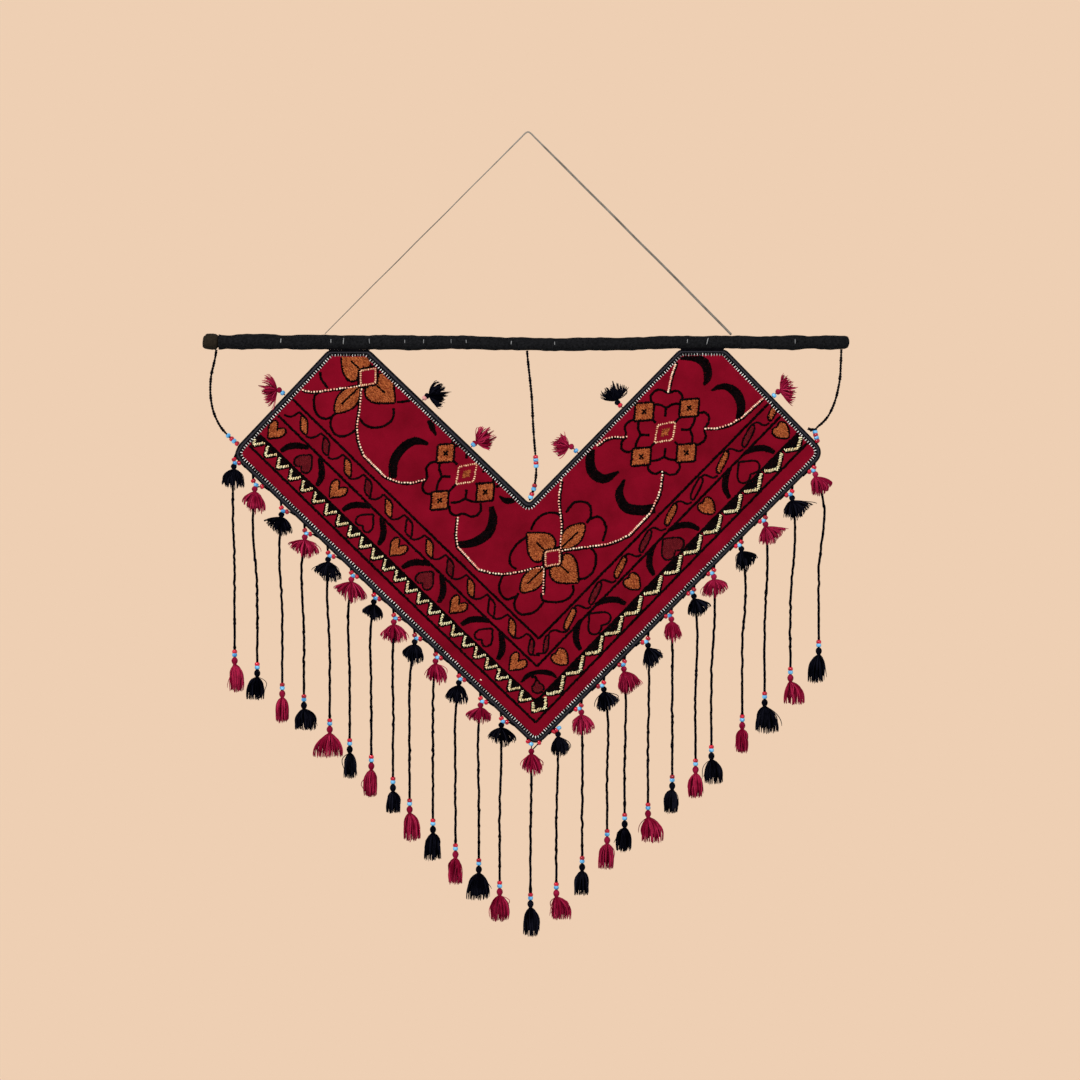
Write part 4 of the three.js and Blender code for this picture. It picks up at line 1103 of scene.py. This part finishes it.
def filled(fills, inset=0.0):
    """The rows of stitches of several fills, given as outlines and the slant of their rows in degrees."""
    rows = [
        rows_of_stitches(outline - outward_at(outline) * inset, slant, seed=turn)
        for turn, (outline, slant) in enumerate(fills)
    ]
    return [np.concatenate(ends) for ends in zip(*rows)]


def teeth(fills, pitch, within, beyond):
    """Stitches across the outline of each fill, from within it to a little beyond, as its rows' ends."""
    edges = [evened(closed(outline), pitch)[:-1] for outline, _ in fills]
    way = np.concatenate([outward_at(edge) for edge in edges])
    edges = np.concatenate(edges)
    rng = np.random.default_rng(21)
    way = way + way[:, ::-1] * (1, -1) * rng.normal(0, 0.3, (len(way), 1))
    return edges - way * within, edges + way * (beyond + rng.normal(0, 0.35, (len(way), 1)))


def dotted(lines, seed):
    """One stitch at each point of each line, along it, from half of the gap to nearly all of it long."""
    along = np.concatenate([np.gradient(line, axis=0) for line in lines])
    share = np.random.default_rng(seed).uniform(0.24, 0.48, (len(along), 1))
    places = np.concatenate(lines)
    return places - along * share, places + along * share


def sewn(spans, width, height, taper=0.26, drift=0.14, tones=(0.1, 0.9)):
    """The stitches that lie on the open field, each moved and widened a little by chance, and their tones."""
    starts, ends = spans
    rng = np.random.default_rng(len(starts))
    shift = rng.normal(0, drift, (len(starts), 2))
    wide = width * rng.uniform(0.85, 1.15, len(starts))
    keep = inside((starts + ends) / 2, moved_in(FIELD_MARGIN))
    shape = stitches((starts + shift)[keep], (ends + shift)[keep], wide[keep], height, taper)
    return shape, np.repeat(rng.uniform(*tones, np.count_nonzero(keep)), POINTS_OF_STITCH)


black_rims, curl_rims = [], []
for outline, _ in black_fills:
    line_round(black_rims, outline, 1.9)
for outline, _ in black_curls:
    line_round(curl_rims, outline - outward_at(outline) * 0.3)
# Each thread: its stitches, with their width, height, taper and drift, and its material
THREADS = {
    "black": (
        [sewn(running(black_lines, 1.45), LINE_WIDTH, 0.6, 0.2, 0.16),
         sewn(running(fine_lines, 1.45), FINE_WIDTH, 0.5, 0.2, 0.16, (0.4, 1.1)),
         sewn(running(stem_shades, 1.45), 4.2, 0.45, 0.2, 0.16),
         sewn(running(black_ties, 1.0), 1.6, 0.5, 0.2),
         sewn(running(black_rims, 1.5), 1.7, 0.5, 0.2, 0.2),
         sewn(filled(black_fills), FILL_WIDTH, 0.55, 0.1),
         sewn(filled(black_curls, 0.5), FILL_WIDTH * 1.05, 0.6, 0.1, 0.1),
         sewn(running(curl_rims, 1.3), 1.8, 0.6, 0.2, 0.1),
         sewn(teeth(black_curls, 2.6, 1.4, 0.8), 1.7, 0.6, 0.2, 0.1),
         sewn(running(black_veins, 1.5), 2.9, 1.5, 0.2)],
        fibre_finish("black_thread", (1, 1, 1), (16, 7, 9), shine=0.02, toned_by="tone"),
    ),
    "orange": (
        [sewn(filled(orange_fills, 0.6), FILL_WIDTH, 0.7, 0.12, 0.25),
         sewn(teeth(orange_fills, 2.7, 2.2, 0.7), 1.6, 0.85, 0.3, 0.1)],
        fibre_finish("orange_thread", (118, 51, 22), (176, 95, 52), toned_by="tone"),
    ),
    "brown": (
        [sewn(filled(brown_fills), FILL_WIDTH, 0.5, 0.12)],
        fibre_finish("brown_thread", (78, 10, 18), (102, 22, 28), toned_by="tone"),
    ),
    "peach": (
        [sewn(running(peach_lines, 0.9), 2.6, 1.0, 0.3, 0.2)],
        fibre_finish("peach_thread", (206, 136, 104), (255, 216, 172), toned_by="tone"),
    ),
    "pale": (
        [sewn(dotted(cream_dots, 4), 2.5, 1.0, 0.2, 0.22), sewn(running(cream_lines, 1.05), 2.8, 1.0, 0.2),
         sewn(running(pale_flecks), 1.8, 0.8)],
        fibre_finish("pale_stem_thread", (238, 140, 122), (255, 242, 208), relief=0.2, toned_by="tone"),
    ),
    "cream": (
        [sewn(satin(cream_bars, bar_widths, 1.9, 5), 1.9, 0.7, 0.16, 0.1, (0.4, 1.0))],
        fibre_finish("cream_thread", (232, 184, 118), (255, 246, 196), relief=0.2, toned_by="tone"),
    ),
}
for colour, (parts, silk) in THREADS.items():
    shape = together([shape for shape, _ in parts])
    tone = np.concatenate([tone for _, tone in parts])
    slot = {"brown": "orange", "peach": "cream", "pale": "cream"}.get(colour, colour) + "_thread"
    add_piece(f"embroidery_{colour}", shape, silk, slot, tone=tone)


# Tassels: each is a bundle of wool ends bound at the neck by a few turns of the same yarn. The skirt falls in
# a bell and ends unevenly, with a few ends that stray. A head is given by how far down and how thick it is.
HEAD = np.array([
    (-3.0, 0.9), (-2.2, 2.3), (-1.0, 3.3), (0.4, 3.7), (1.8, 3.4), (3.0, 2.6), (3.8, 2.0), (4.8, 1.9),
])
ROOT_DEPTH = 3.9
UPPER = dict(rounding=0.14, fullness=0.55, deepest=24, bell=2.1, ragged=0.85, head=1.0, stray=0.07)
LOWER = dict(rounding=0.06, fullness=0.8, deepest=15, ragged=0.35, head=1.3, stray=0.05)
SIDE = dict(rounding=0.45, fullness=0.35, deepest=15, bell=1.5, ragged=1.7, head=0.9, stray=0.25)
# The thick inner bundle and the loose ends over it
BUNDLE = dict(locks=14, each=1, thickness=1.7, cut=0.84)
ENDS = dict(locks=16, each=5, thickness=0.62, cut=1.0)
BUNDLE_REACH = 0.86
END_SIDES = 3
STATIONS = 8


def skirt(left, right, length, kind, lift, make, stray, seed):
    """The ends of one tassel, hung from the origin, in locks that come to uneven points.

    An end leaves the neck at its share of the width and reaches out as 1 - (1 - t)^bell while it falls evenly
    to the hem, and the skirts of a few draw in again by a share of t^2. The hem rises to the sides and on the
    blown side, and a lock's outer ends are shorter than its middle ones. Returns lines and radii.
    """
    rng = np.random.default_rng(seed)
    locks, each = make["locks"], make["each"]
    threads = locks * each
    centre = np.linspace(-1, 1, locks) * (1 - 0.6 / locks) + rng.normal(0, 0.5 / locks, locks)
    inner = rng.uniform(-1, 1, (locks, each))
    off = np.clip((centre[:, None] + inner * 1.15 / locks).ravel(), -1.02, 1.02)
    front = np.clip((rng.uniform(-1, 1, (locks, 1)) + rng.normal(0, 0.3, (locks, each))).ravel(), -1, 1)
    wide, middle = (left + right) / 2, (right - left) / 2
    depth = min(kind["deepest"], 2 * wide * kind["fullness"]) / 2
    raised = abs(lift) * np.maximum(0, np.sign(lift) * off) * 1.2
    root = ROOT_DEPTH * kind["head"]
    hem = root + (length - root) * (1 - kind["rounding"] * off**2 - raised)
    ragged = np.repeat(rng.normal(0, 0.05, locks), each) - 0.1 * np.abs(inner.ravel())
    hem = hem * make["cut"] * (1.04 + ragged * kind["ragged"] + rng.normal(0, 0.02, threads))
    astray = rng.random(threads) < stray
    t = np.linspace(0, 1, STATIONS)
    reach = 1 - (1 - t) ** (kind["bell"] + rng.uniform(-0.25, 0.4))
    reach = reach * (1 - rng.choice([0.0, 0.0, 0.1]) * t**2)
    end_x = middle + wide * off * np.where(astray, rng.uniform(1.05, 1.3, threads), 0.97)
    end_y = depth * front * np.sqrt(np.clip(1 - 0.7 * off**2, 0.1, 1))
    swing = rng.normal(0, 0.5, (threads, 2))[:, :, None] * np.where(astray, 3.0, 1.0)[:, None, None]
    sway = swing * np.sin(np.pi * t * rng.uniform(1, 2.2, (threads, 1, 1)))
    x = off[:, None] * (1 - reach) + end_x[:, None] * reach + sway[:, 0]
    y = front[:, None] * (1 - reach) + end_y[:, None] * reach + sway[:, 1]
    drop = np.where(astray, rng.uniform(0.65, 0.95, threads), 1.0)
    z = -root - (hem * drop - root)[:, None] * t
    taper = np.interp(t, [0, 0.15, 0.3, 0.8, 1], [0.5, 0.9, 1, 0.95, 0.5])
    radius = make["thickness"] * rng.uniform(0.85, 1.15, threads)[:, None] * taper
    return np.stack([x, y, z], axis=-1), radius


def tassel(left, right, length, kind, lift, seed):
    """A tassel hung from the origin, with its tone from dark to light for each point."""
    down = HEAD * (kind["head"], 1 + 0.12 * (kind["head"] - 1))
    neck = np.stack([0 * down[:, 0], 0 * down[:, 0], -down[:, 0]], axis=1)
    head = tubes(neck[None], down[None, :, 1], 10)
    inner = skirt(left * BUNDLE_REACH, right * BUNDLE_REACH, length, kind, lift, BUNDLE, 0, seed)
    bundle = tubes(*inner, 5)
    ends = tubes(*skirt(left, right, length, kind, lift, ENDS, kind["stray"], seed + 500), END_SIDES)
    tones = np.random.default_rng(seed + 900).uniform(0.1, 0.9, ENDS["locks"] * ENDS["each"])
    tone = [np.full(len(head[0]), 0.2), np.full(len(bundle[0]), 0.1), np.repeat(tones, STATIONS * END_SIDES)]
    return together([head, bundle, ends]), np.concatenate(tone)


def set_down(shape, place, turn=0.0):
    """A tassel moved to its place, its skirt turned from straight down towards +X by an angle in degrees."""
    points, faces = shape
    x, y, z = points.T
    angle = np.radians(turn)
    turned = [x * np.cos(angle) - z * np.sin(angle), y, x * np.sin(angle) + z * np.cos(angle)]
    return np.stack(turned, axis=1) + place, faces


def foot_on_edge(place):
    """The point of the binding's edge nearest to a place."""
    return edge_line[np.argmin(np.linalg.norm(edge_line - place, axis=1))]


edge_line = rounded_edge(0.5)
yarns = {
    "black": fibre_finish("black_tassel_wool", (2, 2, 5), (26, 26, 37), shine=0.0, toned_by="tone"),
    "red": fibre_finish("red_tassel_wool", (104, 0, 30), (186, 40, 80), toned_by="tone"),
}
# Side tassels, on the upper edges and in the notch: x, z, the way they point, reach, length, colour, bead
SIDE_TASSELS = [
    (-298.0, -309.6, -88, 20, 22, "red", "blue"), (-121.6, -316.8, 96, 17, 25, "black", "pink"),
    (-64.4, -374.0, 118, 16, 25, "red", "blue"), (52.6, -377.6, -98, 14, 24, "red", "blue"),
    (107.5, -325.2, -164, 17, 24, "black", "red"), (299.6, -311.8, 104, 18, 23, "red", "blue"),
]
BEAD_FROM_EDGE = 3.7
SIDE_THREAD_RADIUS = 0.7
bead_places = {"red": [], "blue": [], "pink": []}
bead_axes = {"red": [], "blue": [], "pink": []}
for number, (x, z, turn, spread, length, colour, bead_colour) in enumerate(SIDE_TASSELS, 1):
    head = np.array([x, z])
    foot = foot_on_edge(head)
    outward = (head - foot) / np.linalg.norm(head - foot)
    y = wave_at(*foot)
    shape, tone = tassel(spread, spread, length, SIDE, 0, 60 + number)
    bead = foot + outward * BEAD_FROM_EDGE
    thread_line = smooth_line([(foot[0], y, foot[1]), (bead[0], y, bead[1]), (x, y, z)], 1.0)
    thread = tubes(thread_line[None], SIDE_THREAD_RADIUS, 6)
    add_piece(
        f"side_tassel_{number}_wool", together([set_down(shape, (x, y, z), turn), thread]), yarns[colour],
        f"{colour}_yarn", [f"side_tassel_{number}"],
        tone=np.concatenate([tone, np.full(len(thread[0]), 0.3)]),
    )
    bead_places[bead_colour].append((bead[0], y - 2.2, bead[1]))
    bead_axes[bead_colour].append((outward[0], 0, outward[1]))


# Drops along the lower edges: a thread loop with three beads, an upper tassel, a black string, two more beads
# and a lower tassel of the other colour. The upper one is black in the first drop at the left, red in the
# next, and so on.
BEAD_RISE = 2.8
HEAD_SINK = 1.0
LOW_BEADS = (6.3, 10.3)
STRING_RADIUS = 1.5
STRING_PITCH = 2.4
LOOP_TAPER = ([0, 0.35, 0.5, 1], [2.1, 1.2, 0.7, 0.7])
# Each drop: x, how far the head hangs under the edge, the skirt's reach to the left and right, its length,
# how far its outer side is blown up, lean, the string's length, its sway, the lower skirt's reach and length
DROPS = [
    (-353, 12, 17, 14, 28, 0.1, -1, 234, 1, 6, 11, 36),
    (-328, 15, 16, 13, 30, 0.35, -2, 222, 3, 13, 8, 31),
    (-296, 15, 21, 14, 26, 0.55, -2, 216, 1, 8, 8, 33),
    (-268, 15, 20, 17, 26, 0.45, -3, 203, -1, 12, 16, 29),
    (-240, 15, 18, 16, 28, 0.35, -1, 205, 2, 21, 16, 33),
    (-212, 12, 24, 20, 29, 0.45, -3, 205, -2, 7, 8, 34),
    (-185, 13, 15, 12, 24, 0.35, -3, 198, -3, 10, 7, 36),
    (-161, 14, 16, 17, 27, 0.15, -1, 200, -1, 8, 9, 30),
    (-136, 14, 17, 12, 28, 0.35, -4, 202, -6, 7, 13, 36),
    (-111, 13, 13, 15, 28, 0.2, -2, 203, -3, 10, 9, 36),
    (-83, 12, 17, 11, 27, 0.15, -3, 207, -4, 8, 8, 35),
    (-57, 14, 18, 13, 23, 0.25, -2, 198, -2, 15, 14, 36),
    (-32, 14, 17, 17, 26, 0.3, 0, 201, -2, 12, 12, 34),
    (4, 11, 11, 14, 29, 0.1, 0, 184, -1, 9, 10, 38),
    (36, 11, 9, 15, 28, 0.15, 0, 192, -2, 6, 19, 31),
    (64, 13, 12, 17, 29, 0.15, 1, 187, 1, 10, 8, 33),
    (91, 13, 9, 17, 28, 0.25, 4, 182, 4, 11, 8, 34),
    (115, 13, 7, 21, 31, 0.2, 2, 187, 1, 11, 8, 32),
    (144, 14, 6, 18, 28, 0.35, 1, 203, 0, 9, 18, 34),
    (172, 11, 8, 12, 28, 0.1, 1, 201, 1, 11, 7, 32),
    (199, 11, 8, 20, 26, 0.35, 3, 209, 2, 10, 9, 33),
    (223, 12, 15, 18, 26, 0.3, 1, 216, -3, 9, 14, 33),
    (256, 12, 7, 21, 28, 0.45, 4, 213, 1, 8, 7, 32),
    (285, 12, 8, 25, 26, 0.6, 2, 215, -1, 11, 17, 36),
    (317, 13, 10, 24, 28, 0.55, 3, 217, -2, 8, 17, 31),
    (345, 13, 5, 22, 27, 0.35, 8, 213, 4, 13, 7, 37),
]
# Where a loop's three beads are bunched up otherwise: red, blue, red
BUNCHED = {
    1: [(-352.6, -392.8), (-351.4, -397.1), (-346.8, -397.1)],
    2: [(-329.6, -418.6), (-326.3, -423.4), (-319.4, -425.5)],
    14: [(0.2, -731.2), (3.7, -734.4), (13.4, -732.7)],
    15: [(31.0, -719.8), (37.1, -715.2), (34.2, -718.2)],
    18: [(115.8, -635.0), (114.4, -639.1), (109.6, -639.4)],
    26: [(343.4, -402.2), (342.5, -406.2), (337.7, -407.6)],
}


def edge_height(x):
    """The height of the V's lower edge at x, its corners taken as sharp."""
    return np.interp(x, *CORNER_PLACES[:3].T)


for number, drop in enumerate(DROPS, 1):
    x, under, left, right, length, lift, lean, string, sway, low_left, low_right, low_length = drop
    colour, other = ("black", "red") if number % 2 else ("red", "black")
    side = 1 if x < TIP[0] else -1
    head_z = edge_height(x) - under
    low_x, low_z = x + sway, head_z - string
    blue_x, blue_z = x + side * 2.2, head_z + BEAD_RISE
    y = wave_at(blue_x, blue_z)
    upper, upper_tone = tassel(left, right, length - HEAD_SINK, UPPER, -side * lift, 100 + number)
    kind = dict(LOWER, bell=np.interp(low_left + low_right, [16, 34], [4.6, 2.0]))
    lower, lower_tone = tassel(low_left, low_right, low_length, kind, 0, 200 + number)
    red_one = np.array([blue_x - side * 2.2, y - 0.6, blue_z + 3.9])
    red_two = np.array([blue_x + side * 4.4, y + 0.3, blue_z - 0.9])
    if number in BUNCHED:
        red_one[[0, 2]], (blue_x, blue_z), red_two[[0, 2]] = BUNCHED[number]
    foot = foot_on_edge((red_one[0], edge_height(red_one[0])))
    near = foot_on_edge(red_two[[0, 2]] + (side * 6.5, -6.2))
    loops = [
        [(foot[0], y, foot[1]), red_one, (blue_x, y, blue_z), (x, y, head_z)],
        [(near[0], y, near[1]), red_two, (x + side * 1.5, y, head_z + 0.5)],
    ]
    threads = []
    for loop in loops:
        loop_line = smooth_line(loop, 1.0)
        thickness = np.interp(np.linspace(0, 1, len(loop_line)), *LOOP_TAPER)
        threads.append(tubes(loop_line[None], thickness[None], 6))
    string_line = smooth_line([
        (x, y, head_z - 3), (x + lean, y, head_z - length), (low_x, y, (head_z - length + low_z) / 2),
        (low_x, y, low_z + 16), (low_x, y, low_z + 1),
    ], STRING_PITCH)
    rng = np.random.default_rng(300 + number)
    steps = np.arange(len(string_line))
    lumps = STRING_RADIUS + rng.normal(0, 0.07, len(steps)) + np.where(rng.random(len(steps)) < 0.05, 0.5, 0)
    kinks = np.convolve(rng.normal(0, 0.5, len(steps)), (0.25, 0.5, 0.25), "same")
    string_line[:, 0] += kinks * np.sin(np.pi * steps / steps[-1])
    threads.append(tubes(string_line[None], lumps[None], 6))
    parts = {
        colour: [(set_down(upper, (x, y, head_z - HEAD_SINK)), upper_tone)],
        other: [(set_down(lower, (low_x, y, low_z)), lower_tone)],
    }
    parts["black"] += [(thread, np.zeros(len(thread[0]))) for thread in threads]
    for name, shapes in parts.items():
        add_piece(
            f"drop_{number:02d}_{name}_wool", together([shape for shape, _ in shapes]), yarns[name],
            f"{name}_yarn", [f"drop_{number:02d}"], tone=np.concatenate([tone for _, tone in shapes]),
        )
    bead_places["red"] += [red_one, red_two, (low_x, y, low_z + LOW_BEADS[1])]
    bead_axes["red"] += [(-side * 0.5, 0, 1), (side * 1.0, 0, 0.2), (0, 0, 1)]
    bead_places["blue"] += [(blue_x, y, blue_z), (low_x, y, low_z + LOW_BEADS[0])]
    bead_axes["blue"] += [(side * 0.4, 0, 1), (0.05, 0, 1)]
for colour, finish in (("red", red_glass), ("blue", blue_glass), ("pink", pink_glass)):
    slot = "blue_bead" if colour == "blue" else "red_bead"
    add_piece(f"tassel_{colour}_beads", beads(bead_places[colour], bead_axes[colour]), finish, slot)


# Studio: a wide pale bowl, its floor well below the hanging, which sheds a soft white light from all round,
# and two square lamps, the stronger one at the upper left. Nothing here is part of the object.
BACKDROP = (238, 207, 179)
SOFT_LIGHT = 0.61
WORLD_LIGHT = 0.72
BOWL = np.array([(0.0, -1.6), (4.6, -1.6), (5.4, -1.5), (6.1, -1.2), (6.6, -0.6), (6.8, 0.2), (6.8, 4.5)])
# Lamps: name, place and side in metres, and watts
LAMPS = (("key_light", (-1.6, -3.6, 1.6), 1.0, 138), ("fill_light", (2.4, -3.2, 0.2), 1.6, 26))
turn = np.linspace(0, 2 * np.pi, 97)
points = np.stack([BOWL[:, :1] * np.cos(turn), BOWL[:, :1] * np.sin(turn), BOWL[:, 1:] + 0 * turn], axis=-1)
faces = grid_faces(numbers_of(points), columns_meet=False)
backdrop_mesh = bpy.data.meshes.new("backdrop")
backdrop_mesh.from_pydata(points.reshape(-1, 3).tolist(), [], faces.tolist())
backdrop_mesh.polygons.foreach_set("use_smooth", np.ones(len(faces), bool))
backdrop = bpy.data.objects.new("backdrop", backdrop_mesh)
bpy.context.scene.collection.objects.link(backdrop)
paper, paper_tree, paper_shader = new_material("pale_paper", **{
    "Base Color": (0, 0, 0, 1), "Emission Strength": 1.0, "Roughness": 1.0, "Specular IOR Level": 0.0,
})
seen = node(paper_tree, "ShaderNodeLightPath")
glow = node(
    paper_tree, "ShaderNodeMix", data_type="RGBA", A=(SOFT_LIGHT, SOFT_LIGHT, SOFT_LIGHT, 1),
    B=linear(*BACKDROP),
)
join(paper_tree, (seen, "Is Camera Ray", glow, "Factor"), (glow, "Result", paper_shader, "Emission Color"))
backdrop_mesh.materials.append(paper)

world = bpy.data.worlds.new("soft_light")
world.use_nodes = True
world.node_tree.nodes["Background"].inputs["Color"].default_value = (1, 1, 1, 1)
world.node_tree.nodes["Background"].inputs["Strength"].default_value = WORLD_LIGHT
bpy.context.scene.world = world
for name, place, size, power in LAMPS:
    light_data = bpy.data.lights.new(name, "AREA")
    light_data.shape = "SQUARE"
    light_data.size = size
    light_data.energy = power
    light = bpy.data.objects.new(name, light_data)
    aim = np.array([0, 0, -0.5]) - place
    aim /= np.linalg.norm(aim)
    light.location = place
    light.rotation_euler = (np.arccos(-aim[2]), 0, np.arctan2(aim[1], aim[0]) - np.pi / 2)
    light.visible_camera = False
    bpy.context.scene.collection.objects.link(light)
bpy.context.scene.view_settings.view_transform = "Standard"
